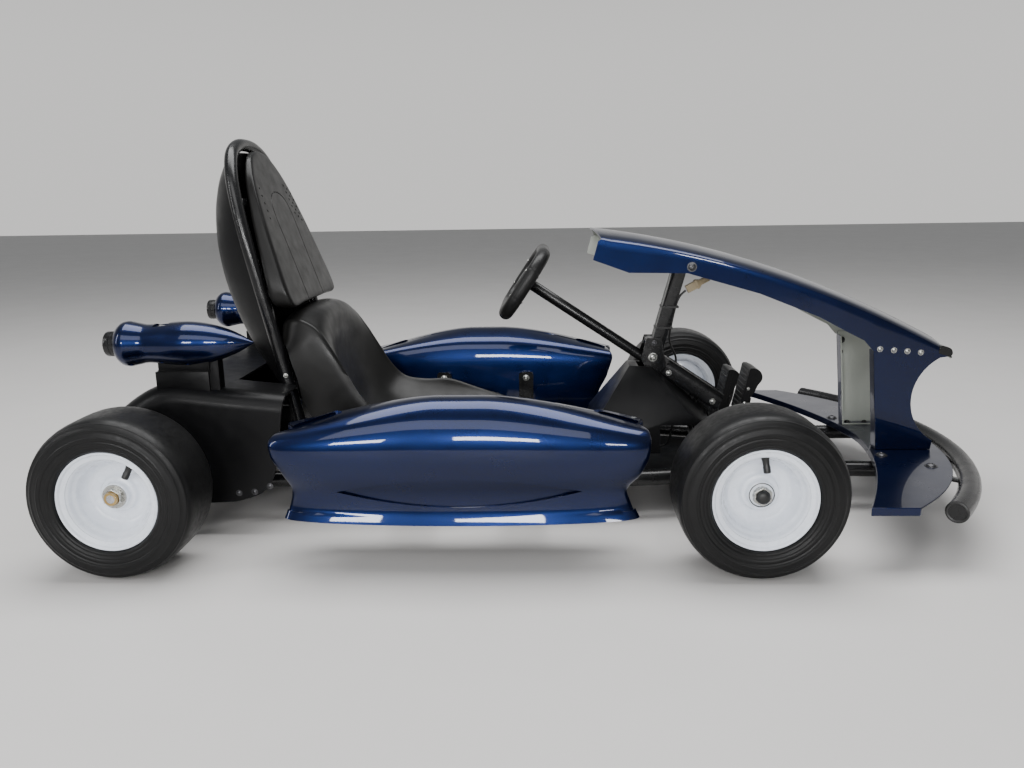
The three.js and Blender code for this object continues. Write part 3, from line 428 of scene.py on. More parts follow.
def material(name, dark, light, roughness, metallic=0.0, patches=9.0, grain=900.0, grain_height=0.02,
             coat=0.0, coat_roughness=0.03, specular=0.5, cells=False, streak=(1, 1, 1), flakes=0):
    """Procedural finish: dark and light are its colours, which change in soft patches;
    roughness is (lowest, highest); grain gives the bump's scale and height in millimetres;
    flakes is how far small metal cells darken the colour."""
    made = bpy.data.materials.new(name)
    made.use_nodes = True
    tree = made.node_tree
    spot = add_node(tree, "TexCoord", {})["Object"]
    stretched = add_node(tree, "Mapping", {"Scale": streak, "Vector": spot})["Vector"]
    soft = {"Scale": patches, "Detail": 6, "Roughness": 0.62, "Vector": stretched}
    colour = mixed(tree, add_node(tree, "TexNoise", soft)["Fac"], (*dark, 1), (*light, 1))
    if flakes:
        cell = add_node(tree, "TexVoronoi", {"Scale": FLAKE_SCALE, "Vector": spot})
        colour = mixed(tree, flakes, colour, cell["Color"], "MULTIPLY")
    fine = add_node(tree, "TexNoise", {"Scale": patches * 5, "Detail": 5, "Vector": stretched})
    spread = {"From Min": 0.3, "From Max": 0.7, "To Min": roughness[0], "To Max": roughness[1]}
    gloss = add_node(tree, "MapRange", {"Value": fine["Fac"], **spread})
    if cells:
        height = add_node(tree, "TexVoronoi", {"Scale": grain, "Vector": stretched})["Distance"]
    else:
        height = add_node(tree, "TexNoise", {"Scale": grain, "Detail": 3, "Vector": stretched})["Fac"]
    bump = add_node(tree, "Bump", {"Strength": 1.0, "Distance": grain_height * MM, "Height": height})
    feed(tree, tree.nodes["Principled BSDF"], {
        "Base Color": colour, "Roughness": gloss["Result"], "Normal": bump["Normal"], "Metallic": metallic,
        "Coat Weight": coat, "Coat Roughness": coat_roughness, "Specular IOR Level": specular,
    })
    return made


FLAKE_SCALE = 1400
FINISHES = {
    "metallic_blue": dict(
        dark=(0.0014, 0.006, 0.034), light=(0.0035, 0.014, 0.078), roughness=(0.26, 0.34), metallic=0.92,
        patches=4, grain=120, grain_height=0.01, coat=0.6, flakes=0.35),
    "frame_black": dict(
        dark=(0.003, 0.003, 0.0033), light=(0.007, 0.007, 0.0075), roughness=(0.2, 0.32),
        grain=700, specular=0.42),
    "black_plastic": dict(
        dark=(0.003, 0.003, 0.0033), light=(0.007, 0.007, 0.0075), roughness=(0.28, 0.4),
        grain=1500, grain_height=0.03, cells=True, specular=0.14),
    "seat_vinyl": dict(
        dark=(0.004, 0.0039, 0.0037), light=(0.009, 0.0088, 0.0084), roughness=(0.28, 0.4),
        grain=1100, grain_height=0.025, cells=True, specular=0.2),
    "grip_rubber": dict(
        dark=(0.005, 0.005, 0.005), light=(0.011, 0.011, 0.011), roughness=(0.34, 0.46),
        grain=1300, grain_height=0.03, cells=True, specular=0.28),
    "tyre": dict(
        dark=(0.004, 0.004, 0.0043), light=(0.01, 0.01, 0.01), roughness=(0.3, 0.48),
        patches=26, grain=800, grain_height=0.04, specular=0.2),
    "white_rim": dict(
        dark=(0.70, 0.74, 0.82), light=(0.80, 0.84, 0.90), roughness=(0.22, 0.34),
        patches=14, grain=260, coat=0.6, coat_roughness=0.06),
    "zinc_steel": dict(
        dark=(0.30, 0.30, 0.285), light=(0.58, 0.58, 0.55), roughness=(0.2, 0.42), metallic=1.0,
        patches=60, grain_height=0.015),
    "bright_steel": dict(
        dark=(0.38, 0.38, 0.39), light=(0.56, 0.56, 0.57), roughness=(0.2, 0.34), metallic=1.0,
        patches=30, grain=1100, grain_height=0.01, streak=(1, 12, 1)),
    "dark_steel": dict(
        dark=(0.05, 0.05, 0.054), light=(0.12, 0.12, 0.125), roughness=(0.32, 0.5), metallic=0.9, patches=40),
    "motor_casting": dict(
        dark=(0.012, 0.012, 0.013), light=(0.028, 0.028, 0.03), roughness=(0.45, 0.6),
        patches=30, grain=500, grain_height=0.06),
    "bare_aluminium": dict(
        dark=(0.34, 0.35, 0.36), light=(0.5, 0.51, 0.52), roughness=(0.34, 0.48), metallic=1.0,
        patches=30, grain=1400),
    "cable_black": dict(
        dark=(0.004, 0.004, 0.004), light=(0.009, 0.009, 0.009), roughness=(0.35, 0.5),
        patches=60, grain_height=0.01),
    "tan_nylon": dict(
        dark=(0.27, 0.215, 0.13), light=(0.36, 0.29, 0.18), roughness=(0.4, 0.55), patches=80, grain=1500),
}
MATERIALS = {name: material(name, **finish) for name, finish in FINISHES.items()}
BRASS = material("brass_end", (0.34, 0.22, 0.08), (0.56, 0.40, 0.17), (0.36, 0.56),
                 metallic=1.0, patches=80, grain_height=0.05)
PRIMER = material("pale_primer", (0.33, 0.35, 0.31), (0.42, 0.44, 0.40), (0.45, 0.6),
                  patches=12, grain=500, grain_height=0.04)

# ---- wheels ----------------------------------------------------------------------------
# Half of the tyre's section, (radius, distance from the wheel's middle plane): crown,
# shoulder ridge, sidewall with two moulded rings, bead and the inner side.
TYRE_HALF = (
    (127, 0), (127, 12), (126.8, 24), (126.2, 33), (125.1, 39.5), (123.6, 43.6), (122.2, 45.6),
    (121.7, 46.9), (121.6, 48.3), (120.6, 49.6), (118.9, 50.2), (117.3, 50.6), (115, 52.2),
    (113.4, 53.3), (112.9, 54.1), (112.2, 54.2), (111.6, 53.9), (108, 55.2), (104, 56.3),
    (102.6, 56.6), (102.1, 57.2), (101.4, 57.2), (100.9, 56.8), (99, 57), (97.2, 56.9), (96.6, 55.9),
    (95.7, 55.7), (94.8, 56.5), (91, 56.1), (90.1, 55.4), (89.3, 55.4), (88.6, 55.6), (87, 55),
    (85.6, 54.2), (84.9, 53.5), (84.1, 53.5), (83.2, 54), (81.2, 53.2), (79.6, 51.8), (79, 50.2),
    (76.8, 46), (66.8, 43), (64.4, 20),
)
# The rim from its outboard lip to its bore: lip, bead seat step, barrel, dished disc with
# a pressed ring, and the raised hub ring.
RIM_FACE = (
    (66, 44), (70.6, 45.6), (75.6, 47.2), (77.2, 47.9), (77.5, 48.9), (76.9, 49.8), (75.6, 50.0),
    (74.2, 49.4), (73.4, 48.0), (72.4, 46.4), (69.8, 44.2), (67.0, 43.0), (64.2, 41.4), (62.6, 38.6),
    (61.4, 34.4), (60.2, 31.6), (58.4, 30.0), (57.0, 27.6), (56.2, 23.4), (54.6, 18.4), (51.6, 13.6),
    (49.0, 9.4), (46.4, 6.9), (44.4, 6.4), (42.6, 7.6), (38, 6.4), (33, 5.6), (30.0, 6.6), (28.4, 9.4),
    (27.4, 12.2), (26.2, 13.2), (24.2, 13.5), (22.6, 14.0), (21.2, 15.6), (20.6, 18.5), (20.2, 23.2),
    (19.4, 24),
)
RIM_BACK = (
    (19.4, -24), (20.4, -23), (22, -8), (26, -5), (60, -2), (60.2, -37), (74, -50), (76.6, -49.8),
    (77.5, -48.5), (66, -44), (63.4, -36), (63.4, 36),
)
FRONT_BORE, REAR_BORE = 10.3, 12.8
HUB_FACE = 24
REAR_VALVE_LEAN = 32


def turned_piece(name, profile, centre, sign, segments, like, **options):
    """Solid of revolution on the wheel's axis; profile is (radius, distance outboard)."""
    shape = lathe([(r, sign * y) for r, y in profile], centre, "Y", segments)
    return piece(name, shape, like, **options)


def add_wheel(corner, side, sign):
    wheel = f"{corner}_{side}"
    front = corner == "front"
    centre = (0 if front else REAR_X, sign * TRACK_HALF, AXLE_Z)
    loop = list(TYRE_HALF) + [(r, -y) for r, y in reversed(TYRE_HALF[1:])]
    turned_piece(f"tyre_{wheel}", loop, centre, sign, 160, f"{wheel}_tyre",
                 stands_for=[f"{wheel}_tyre"], angle=60)
    bore = FRONT_BORE if front else REAR_BORE
    rim_loop = list(RIM_FACE) + [(bore, HUB_FACE), (bore, -HUB_FACE)] + list(RIM_BACK)
    turned_piece(f"rim_{wheel}", rim_loop, centre, sign, 128, f"{wheel}_rim",
                 stands_for=[f"{wheel}_rim"], angle=50)
    add_valve(wheel, centre, sign, 0 if front else REAR_VALVE_LEAN)
    (add_front_hub if front else add_rear_hub)(wheel, side, centre, sign)
    keep_cad(f"{wheel}_hub_nut", 0.9, 3)


def add_valve(wheel, centre, sign, lean_degrees):
    """Rubber valve stem, from the barrel inwards and a little outboard."""
    lean = math.radians(lean_degrees) * (1 if sign < 0 else -1)
    out = Vector((math.sin(lean), 0, math.cos(lean)))

    def spot(radius, along):
        return Vector(centre) + out * radius + Vector((0, sign * along, 0))
    base, tip = spot(64.5, 28), spot(37, 33) + Vector((4, 0, 0))
    steps = ((0, 7.6), (0.1, 7.3), (0.22, 6.2), (0.3, 5.3), (0.62, 4.9), (0.66, 5.4), (0.97, 5.3), (1, 4.3))
    length = (tip - base).length
    profile = [(0, 0)] + [(r, t * length) for t, r in steps] + [(0, length)]
    piece(f"valve_{wheel}", aimed(profile, base, tip - base, 24), f"{wheel}_tyre", slot="cable_black")


def add_front_hub(wheel, side, centre, sign):
    """Ball bearing in the hub's mouth and the domed end of the stub axle."""
    seat = [(19, -5), (19, 0.5), (17.8, 0.9), (17.2, -0.6), (13.6, -0.6), (13.1, 0.7), (11.2, 0.7),
            (11.2, -5)]
    turned_piece(f"bearing_{wheel}", [(r, HUB_FACE + y) for r, y in seat], centre, sign, 64, f"{wheel}_rim",
                 slot="frame_black")
    spindle = f"front_{side}_spindle"
    low, high = local_box(spindle)
    end = max(abs(low.y), abs(high.y)) - TRACK_HALF
    dome = [(0, -6), (10.2, -6), (10.4, -3), (10.2, -1), (9, 1.6), (6.6, 3.2), (3.2, 4), (0, 4.2)]
    turned_piece(f"stub_cap_{side}", [(r, end + y) for r, y in dome], centre, sign, 48, spindle,
                 slot="cable_black")


def add_rear_hub(wheel, side, centre, sign):
    """Nut washer and the bevelled, brassy end of the axle thread."""
    washer = [(12.9, 24.2), (18.6, 24.2), (18.9, 24.9), (18.4, 25.9), (12.9, 25.9)]
    turned_piece(f"washer_{wheel}", washer, centre, sign, 64, f"{wheel}_rim", slot="zinc_steel")
    end = local_box("rear_axle")[1].y - TRACK_HALF
    tip = [(0, -5), (10.7, -5), (10.9, -1.2), (9.7, 0.4), (6.8, 0.5), (6.2, -0.8), (3, -1.2), (0, -1.2)]
    obj = turned_piece(f"axle_end_{side}", [(r, end + y) for r, y in tip], centre, sign, 48, "rear_axle",
                       slot="bright_steel")
    obj.data.materials.clear()
    obj.data.materials.append(BRASS)


for corner in ("front", "rear"):
    for side, sign in SIDES:
        add_wheel(corner, side, sign)

# ---- frame -----------------------------------------------------------------------------
TUBE_RADIUS = 14
RAIL_Y, RAIL_FRONT_Y = 165, 120
RAIL_Z = 75
RAIL_NOSE_X = 325
POD_ARMS = (-543, -358)
POD_ARM_Y = 262
POD_ARM_TOP = 178
POD_ARM_RADIUS = 9
POD_PLATE = 5
POD_BOLT_Z = 165


def across(sign, near, far):
    """Low and high y of something between two distances from the middle, on one side."""
    return min(sign * near, sign * far), max(sign * near, sign * far)


def side_block(sign, x, y, z):
    low, high = across(sign, *y)
    return block((x[0], low, z[0]), (x[1], high, z[1]))


def add_rail(side, sign):
    line = smooth_line([
        (REAR_X - 62, sign * RAIL_Y, RAIL_Z), (-500, sign * RAIL_Y, RAIL_Z), (-150, sign * RAIL_Y, RAIL_Z),
        (60, sign * RAIL_FRONT_Y, RAIL_Z), (RAIL_NOSE_X, sign * RAIL_FRONT_Y, RAIL_Z),
    ], 10)
    shapes = [tube(line, TUBE_RADIUS, 28)]
    for x in POD_ARMS:
        shapes.append(bar((x, sign * RAIL_Y, RAIL_Z), (x, sign * (POD_ARM_Y - 3), RAIL_Z), POD_ARM_RADIUS))
        low = RAIL_Z - POD_ARM_RADIUS
        corners = [(x - 16, low), (x + 16, low), (x + 16, POD_ARM_TOP), (x - 16, POD_ARM_TOP)]
        shapes.append(prism(rounded(corners, 9), "xz", *across(sign, POD_ARM_Y - POD_PLATE, POD_ARM_Y)))
    node = f"frame_rail_{side}"
    piece(f"rail_{side}", merged(*shapes), node, stands_for=[node])
    for x in POD_ARMS:
        nut = (x, sign * (POD_ARM_Y - POD_PLATE), POD_BOLT_Z)
        add_bolts(f"pod_nut_{side}_{-x}", [nut], (0, -sign, 0), 5.5, 5, node)


for side, sign in SIDES:
    add_rail(side, sign)

KEPT_NODES = {
    "rear_cross_tube": 1.2, "seat_cross_tube": 1.2, "front_beam": 1.2, "floor_tray": 0.8, "rear_axle": 0.8,
    "axle_bearing_left": 1.5, "axle_bearing_right": 1.5, "axle_sprocket": 0.4, "motor_sprocket": 0.4,
    "drive_chain": 0.6, "drive_motor": 2, "battery_pack": 4, "motor_controller": 1.5, "brake_disc": 0.4,
    "brake_caliper": 2, "front_left_spindle": 1.2, "front_right_spindle": 1.2, "tie_rod_left": 0.8,
    "tie_rod_right": 0.8, "steering_column": 1, "steering_tunnel": 1.2, "footwell_hood": 1.0,
    "canopy_mast": 1.6, "lead_connector": 0.8,
}
for node, bevel in KEPT_NODES.items():
    keep_cad(node, bevel, 3)

# ---- steering wheel --------------------------------------------------------------------
COLUMN_SLOPE = math.radians(33.6)
COLUMN_ALONG = Vector((-math.cos(COLUMN_SLOPE), 0, math.sin(COLUMN_SLOPE)))
COLUMN_UP = Vector((math.sin(COLUMN_SLOPE), 0, math.cos(COLUMN_SLOPE)))
COLUMN_FOOT = Vector((-30, 0, 194))
COLUMN_LENGTH = 388
WHEEL_PLACE = COLUMN_FOOT + COLUMN_ALONG * COLUMN_LENGTH
WHEEL_HALF = (118, 62)
WHEEL_CORNER = 57
GRIP_RADIUS = 12.2
GRIP_SEAMS = (0.06, 0.19, 0.31, 0.44, 0.56, 0.69, 0.81, 0.94)


def on_wheel(shape):
    """Moves a shape drawn with x to the right, y up and z towards the driver onto the wheel."""
    points, faces = shape
    right = Vector((0, -1, 0))
    return [WHEEL_PLACE + right * p.x + COLUMN_UP * p.y + COLUMN_ALONG * p.z for p in points], faces


def grip_ring(outline, radius_at, sides=24):
    """Closed tube round a flat outline; radius_at(share) is its radius along the outline."""
    count = len(outline)
    points = []
    for i, spot in enumerate(outline):
        along = (outline[(i + 1) % count] - outline[i - 1]).normalized()
        out = Vector((along.y, -along.x, 0))
        radius = radius_at(i / count)
        for k in range(sides):
            angle = 2 * math.pi * k / sides
            points.append(spot + out * radius * math.cos(angle) + Vector((0, 0, radius * math.sin(angle))))
    faces = []
    for i in range(count):
        for k in range(sides):
            a, b = i * sides + k, i * sides + (k + 1) % sides
            c, d = ((i + 1) % count) * sides + (k + 1) % sides, ((i + 1) % count) * sides + k
            faces.append((a, b, c, d))
    return points, faces


def add_steering_wheel():
    wide, high = WHEEL_HALF
    corners = [(wide, high), (-wide, high), (-wide, -high), (wide, -high)]
    outline = smooth_line(rounded(corners, WHEEL_CORNER, 10), 6, closed=True)

    def radius_at(share):
        nearest = min(abs(share - seam) for seam in GRIP_SEAMS)
        return GRIP_RADIUS - 0.5 * math.exp(-(nearest / 0.0025) ** 2)
    piece("steering_wheel_grip", on_wheel(grip_ring(outline, radius_at, 28)), "steering_wheel",
          stands_for=["steering_wheel"])
    arms = [(-112, 9), (-30, 15), (30, 15), (112, 9), (112, -9), (30, -15), (-30, -15), (-112, -9)]
    spoke = rounded(arms, 8)
    low = rounded([(-20, 0), (20, 0), (13, -55), (-13, -55)], 5)
    web = rounded([(106, 48), (-106, 48), (-106, -48), (106, -48)], 44, 8)
    plates = merged(prism(spoke, "xy", -3, 3), prism(low, "xy", -3.05, 2.95), prism(web, "xy", -1.6, 1.4))
    piece("steering_wheel_spokes", on_wheel(plates), "steering_wheel", slot="black_plastic", bevel=1)
    hub = [(0, -13), (20, -13), (23, -9), (24.5, 2), (24.5, 7), (22.5, 10), (0, 11)]
    cap = lathe(hub, (0, 0, 0), "X", 48)
    upright_cap = ([Vector((p.y, p.z, p.x)) for p in cap[0]], cap[1])
    piece("steering_wheel_hub", on_wheel(upright_cap), "steering_wheel", slot="black_plastic", angle=30)
    heads = []
    for x in (-78, -45, 45, 78):
        heads.append(bolt_shape((x, 0, 3), (0, 0, 1), 3.2, 2.4))
    for x in (-wide + 4, wide - 4):
        for y in (-26, 26):
            heads.append(bolt_shape((x, y, GRIP_RADIUS - 0.6), (0, 0, 1), 2.4, 1.6))
            heads.append(bolt_shape((x, y, 0.6 - GRIP_RADIUS), (0, 0, -1), 2.6, 1.8))
    piece("steering_wheel_screws", on_wheel(merged(*heads)), "steering_wheel", slot="zinc_steel")


add_steering_wheel()
TUNNEL_HALF = 20
# Section of the rolled side cover: (distance out from the tunnel's side, height over the column).
TUNNEL_ROLL = (
    (0.4, 25.5), (4, 24), (8, 19), (10, 11), (10.5, 2), (9, -6), (7.5, -6), (8.8, 2), (8.3, 11), (6.5, 18),
    (3, 22.4), (0.4, 23.8),
)
TUNNEL_ROLL_ENDS = (78, -46)
MAST_FOOT, MAST_HEAD = (-113, 252), (-61, 446)


def mast_x(z):
    (foot_x, foot_z), (head_x, head_z) = MAST_FOOT, MAST_HEAD
    return mix(foot_x, head_x, (z - foot_z) / (head_z - foot_z))


def add_tunnel_side(side, sign):
    """Rolled side cover of the tunnel with its rivets, and the bolts of the mast's gusset."""
    line = smooth_line([(TUNNEL_HALF + y, up, 0) for y, up in TUNNEL_ROLL], 3, closed=True)
    rings = [[COLUMN_FOOT + COLUMN_ALONG * along + COLUMN_UP * p.y + Vector((0, sign * p.x, 0)) for p in line]
             for along in TUNNEL_ROLL_ENDS]
    piece(f"tunnel_side_{side}", lofted(rings), "steering_tunnel", angle=50)
    outward = (0, sign, 0)
    face = Vector((0, sign * (TUNNEL_HALF + 10.4), 0))
    rivets = [COLUMN_FOOT + COLUMN_ALONG * along + COLUMN_UP * 4 + face for along in (68, -32)]
    add_bolts(f"tunnel_rivets_{side}", rivets, outward, 4.2, 3, "steering_tunnel", recess=False)
    gusset = sign * (TUNNEL_HALF + 3.5)
    add_bolts(f"mast_bolt_{side}", [(-114, gusset, 264)], outward, 6.4, 5, "canopy_mast")
    add_bolts(f"mast_screw_{side}", [(-112, gusset, 291)], outward, 3.6, 3, "canopy_mast", "dark_steel")


for side, sign in SIDES:
    add_tunnel_side(side, sign)


def add_cable_tie(z, name):
    """Tie round the mast and the lead on its front, with its small lock."""
    x = mast_x(z)
    band = block((x - 13.6, -16.2, z - 2), (x + 18, 16.2, z + 2))
    lock = block((x - 6, -19, z - 3), (x + 2, -15.5, z + 3))
    piece(name, merged(band, lock), "canopy_mast", slot="cable_black", bevel=0.5)


add_cable_tie(357, "cable_tie_upper")
add_cable_tie(318, "cable_tie_lower")

# ---- pedals ----------------------------------------------------------------------------
PEDAL_SHAFT = (40, 112)
TREAD_LOW, TREAD_HIGH = (29, 176), (46.5, 259)
TREAD_THICK = 10
RIB_COUNT, RIB_LOW, RIB_PITCH = 9, 184, 8.4


def add_pedal(name, y, drop):
    def lowered(outline):
        return [(x, z - drop) for x, z in outline]
    shaft_x, shaft_z = PEDAL_SHAFT
    arm = prism([(33, 116), (47, 116), (56, 200 - drop), (42, 200 - drop)], "xz", y - 9, y + 9)
    barrel = bar((shaft_x, y - 14, shaft_z), (shaft_x, y + 14, shaft_z), 11, 40)
    (low_x, low_z), (high_x, high_z) = TREAD_LOW, TREAD_HIGH
    plate = [TREAD_LOW, (low_x + TREAD_THICK, low_z), (high_x + TREAD_THICK, high_z), TREAD_HIGH]
    tread = prism(rounded(lowered(plate), 3), "xz", y - 30, y + 30)
    lobe = [(42, 197), (50, 205), (57, 214), (62, 228), (68, 234), (70.5, 242), (67, 252), (60, 257),
            (50, 258.5)]
    back = prism(rounded(lowered(lobe), 7), "xz", y - 27, y + 27)
    piece(name, merged(arm, barrel, tread, back), name, stands_for=[name], bevel=1.5)
    ribs = []
    slope = (high_x - low_x) / (high_z - low_z)
    for k in range(RIB_COUNT):
        z = RIB_LOW + RIB_PITCH * k
        x = low_x + slope * (z - low_z)
        outline = [(x - 1.2, z - 1.6), (x + 1, z - 1.6), (x + 1.7, z + 1.6), (x - 0.5, z + 1.6)]
        ribs.append(prism(rounded(lowered(outline), 0.7), "xz", y - 25, y + 25))
    piece(f"{name}_ribs", merged(*ribs), name, slot="grip_rubber", bevel=0.4)
    outward = -1 if y < 0 else 1
    screws = [(x, y + 30 * outward, z - drop) for x, z in ((39, 196), (44.5, 222))]
    add_bolts(f"{name}_screws", screws, (0, outward, 0), 2.2, 1.4, name)


add_pedal("accelerator_pedal", -80, 0)
add_pedal("brake_pedal", 80, 36)

# ---- seat ------------------------------------------------------------------------------
HOOP_FOOT = (-760, 190)
HOOP_LEAN = 0.222
HOOP_RADIUS = 11


def hoop_x(z):
    return HOOP_FOOT[0] - HOOP_LEAN * (z - HOOP_FOOT[1])


# Rows from the lip of the back down to the front of the pan: the middle's (x, z), the
# bolster's (x, z), half the width between the bolsters, and the skirt's end (x, z).
SEAT_ROWS = (
    ((-786, 348), (-785, 336), 112, (-787, 304)),
    ((-779, 364), (-778, 350), 122, (-783, 312)),
    ((-748, 373), (-752, 357), 134, (-775, 314)),
    ((-716, 364), (-718, 342), 142, (-768, 306)),
    ((-706, 332), (-690, 306), 147, (-762, 286)),
    ((-704, 290), (-666, 266), 150, (-752, 256)),
    ((-692, 232), (-640, 222), 152, (-742, 210)),
    ((-664, 174), (-612, 196), 152, (-722, 178)),
    ((-610, 138), (-572, 188), 152, (-650, 150)),
    ((-530, 124), (-520, 188), 152, (-540, 146)),
    ((-450, 122), (-456, 168), 150, (-462, 138)),
    ((-380, 128), (-384, 146), 146, (-394, 116)),
    ((-338, 130), (-340, 134), 138, (-350, 104)),
    ((-330, 112), (-332, 116), 134, (-342, 86)),
)
SEAT_SHARES = (1, 0.94, 0.84, 0.66, 0.45, 0.22, 0)
SEAT_SHEET = 5


def add_seat_bucket():
    grid = []
    for middle_spot, edge, half, skirt in SEAT_ROWS:
        row = [(half + 4, skirt[1], skirt[0])]
        row.append((half + 4, mix(skirt[1], edge[1], 0.5), mix(skirt[0], edge[0], 0.5)))
        for share in SEAT_SHARES:
            lift = share ** 3
            row.append((share * half, mix(middle_spot[1], edge[1], lift), mix(middle_spot[0], edge[0], lift)))
        grid.append(mirrored_row(row))
    shape = skin(refined(grid, 5, 4), SEAT_SHEET)
    piece("seat_skin", shape, "seat_bucket", stands_for=["seat_bucket"], angle=60)
    screws = [bolt_shape((-772, sign * 154, 262), (0.2, sign, 0), 3, 2) for _, sign in SIDES]
    piece("seat_screws", merged(*screws), "seat_bucket", slot="zinc_steel")


add_seat_bucket()

# ---- backrest --------------------------------------------------------------------------
PAD_LOW = 380
PAD_FRONT_X, PAD_FRONT_SLOPE = -748.6, 0.335
PAD_BACK_X, PAD_BACK_SLOPE = -787, 0.233
PAD_ROUND = 11
PAD_HALF = (
    (0, 380), (70, 380), (138, 380), (149, 388), (152, 408), (138, 474), (122, 530), (98, 588), (77, 617),
    (47, 640), (0, 650),
)
PAD_BARS = ((404, 138), (560, 128))
PAD_TILT = math.atan(PAD_FRONT_SLOPE)


def pad_front(z):
    return PAD_FRONT_X - PAD_FRONT_SLOPE * (z - PAD_LOW)


def pad_back(z):
    return PAD_BACK_X - PAD_BACK_SLOPE * (z - PAD_LOW)


def pad_body():
    """Cushion between its two leaning faces; its rim is round and full."""
    corners = list(PAD_HALF) + [(-y, z) for y, z in reversed(PAD_HALF[1:-1])]
    outline = smooth_line([(y, z, 0) for y, z in corners], 6, closed=True)
    count = len(outline)
    rings = []
    steps = 20
    for i in range(steps + 1):
        depth = 0.5 - 0.5 * math.cos(math.pi * i / steps)
        inset = PAD_ROUND * (1 - (1 - abs(2 * depth - 1) ** 5) ** 0.3)
        ring = []
        for k, spot in enumerate(outline):
            along = (outline[(k + 1) % count] - outline[k - 1]).normalized()
            inward = Vector((-along.y, along.x, 0))
            moved = spot + inward * inset
            ring.append(Vector((mix(pad_back(moved.y), pad_front(moved.y), depth), moved.x, moved.y)))
        rings.append(ring)
    return lofted(rings)


def on_pad(y, z, out=0):
    normal = Vector((math.cos(PAD_TILT), 0, math.sin(PAD_TILT)))
    return Vector((pad_front(z), y, z)) + normal * out


def pad_tools():
    """Groove of the middle panel, and the small holes in three columns beside it."""
    route = [(-50, 372), (-50, 420), (-50, 480), (-51, 535), (-43, 560), (-24, 573), (0, 577)]
    route += [(-y, z) for y, z in reversed(route[:-1])]
    groove = tube(smooth_line([on_pad(y, z, 0.4) for y, z in route], 5), 1.5, 10)
    tools = [groove]
    for column in range(3):
        for row in range(5):
            y = 66 + 14 * column + 1.5 * row
            z = 590 - 13 * row - 7 * column
            if y < 126 - 0.38 * (z - 520):
                tools.append(bar(on_pad(y, z, -5), on_pad(y, z, 4), 2.5, 14))
            if column == 1:
                tools.append(bar(on_pad(-y, z, -5), on_pad(-y, z, 4), 2.2, 14))
    return tools


def add_pad():
    pad = mesh_object("backrest_cushion", pad_body())
    carved(pad, [merged(*pad_tools())])
    shade(pad, 34)
    finish_piece(pad, "backrest_pad", stands_for=["backrest_pad"])


add_pad()

HOOP_OUTLINE = (
    (139, RAIL_Z + 30), (139, 200), (139, 300), (139, 420), (137, 500), (129, 560), (113, 606), (84, 640),
    (44, 657), (0, 661),
)


def add_hoop():
    half = [(y, z, hoop_x(z)) for y, z in HOOP_OUTLINE]
    shapes = [tube(smooth_line(mirrored_row(half), 6), HOOP_RADIUS, 32)]
    for _, sign in SIDES:
        foot = (hoop_x(RAIL_Z + 14), sign * 150, RAIL_Z + 17)
        shapes.append(bar((hoop_x(RAIL_Z + 34), sign * 139, RAIL_Z + 34), foot, HOOP_RADIUS, 32))
    for z, half_width in PAD_BARS:
        shapes.append(block((hoop_x(z) + 2, -half_width, z - 6), (pad_back(z + 6) - 0.3, half_width, z + 6)))
    piece("hoop_tube", merged(*shapes), "seat_hoop", stands_for=["seat_hoop"], angle=45)


add_hoop()


def hoop_half_at(z):
    for (y0, z0), (y1, z1) in zip(HOOP_OUTLINE, HOOP_OUTLINE[1:]):
        if z <= z1:
            return mix(y0, y1, (z - z0) / (z1 - z0))
    return 0


SHELL_LOW, SHELL_TOP = 215, 649
SHELL_BULGE = 98


def add_back_shell():
    rows = 24
    grid = []
    for i in range(rows + 1):
        z = mix(SHELL_LOW, SHELL_TOP, i / rows)
        half = hoop_half_at(z + 6) - HOOP_RADIUS - 3
        bulge = SHELL_BULGE * math.sin(math.pi * min(z - 180, 470) / 475) ** 0.6
        row = []
        for share in (1, 0.97, 0.9, 0.8, 0.66, 0.5, 0.3, 0.15, 0):
            row.append((share * half, z, hoop_x(z) - 4 - bulge * (1 - share ** 2.4)))
        grid.append(mirrored_row(row))
    shape = skin(refined(grid, 2, 3), 3)
    piece("back_shell", shape, "backrest_shell", stands_for=["backrest_shell"], angle=60)


add_back_shell()

# ---- rear cover ------------------------------------------------------------------------
COVER_HALF = 245
COVER_ROUND = 30
COVER_SHEET = 3.5
SEAT_GAP = ((-856, -690), 154, (190, 300))
COVER_OUTLINE = (
    (-700, 238), (-758, 246), (-842, 254), (-941, 266), (-985, 256), (-1031, 226), (-1066, 192),
    (-1082, 140), (-1078, 90), (-1060, 20), (-700, 20),
)


def pulled_in(corners, distance):
    """The counter-clockwise outline with every side moved inwards by the same distance."""
    moved = []
    for k, corner in enumerate(corners):
        before = (Vector(corner) - Vector(corners[k - 1])).normalized()
        after = (Vector(corners[(k + 1) % len(corners)]) - Vector(corner)).normalized()
        inward = Vector((-before.y - after.y, before.x + after.x)).normalized()
        moved.append(Vector(corner) + inward * distance / inward.dot(Vector((-after.y, after.x))))
    return moved


def cover_body(inset):
    """The cover's outer shape, pulled in by inset, with rounded shoulders at both sides."""
    rings = []
    steps = 8
    for _, sign in reversed(SIDES):
        for k in range(steps + 1):
            angle = math.pi / 2 * (k / steps if sign < 0 else 1 - k / steps)
            y = sign * (COVER_HALF - inset - COVER_ROUND * (1 - math.cos(angle)))
            pull = inset + COVER_ROUND * (1 - math.sin(angle))
            outline = rounded([tuple(p) for p in pulled_in(COVER_OUTLINE, pull)], 24, 5)
            rings.append([Vector((p.x, y, p.y)) for p in outline])
    return lofted(rings)


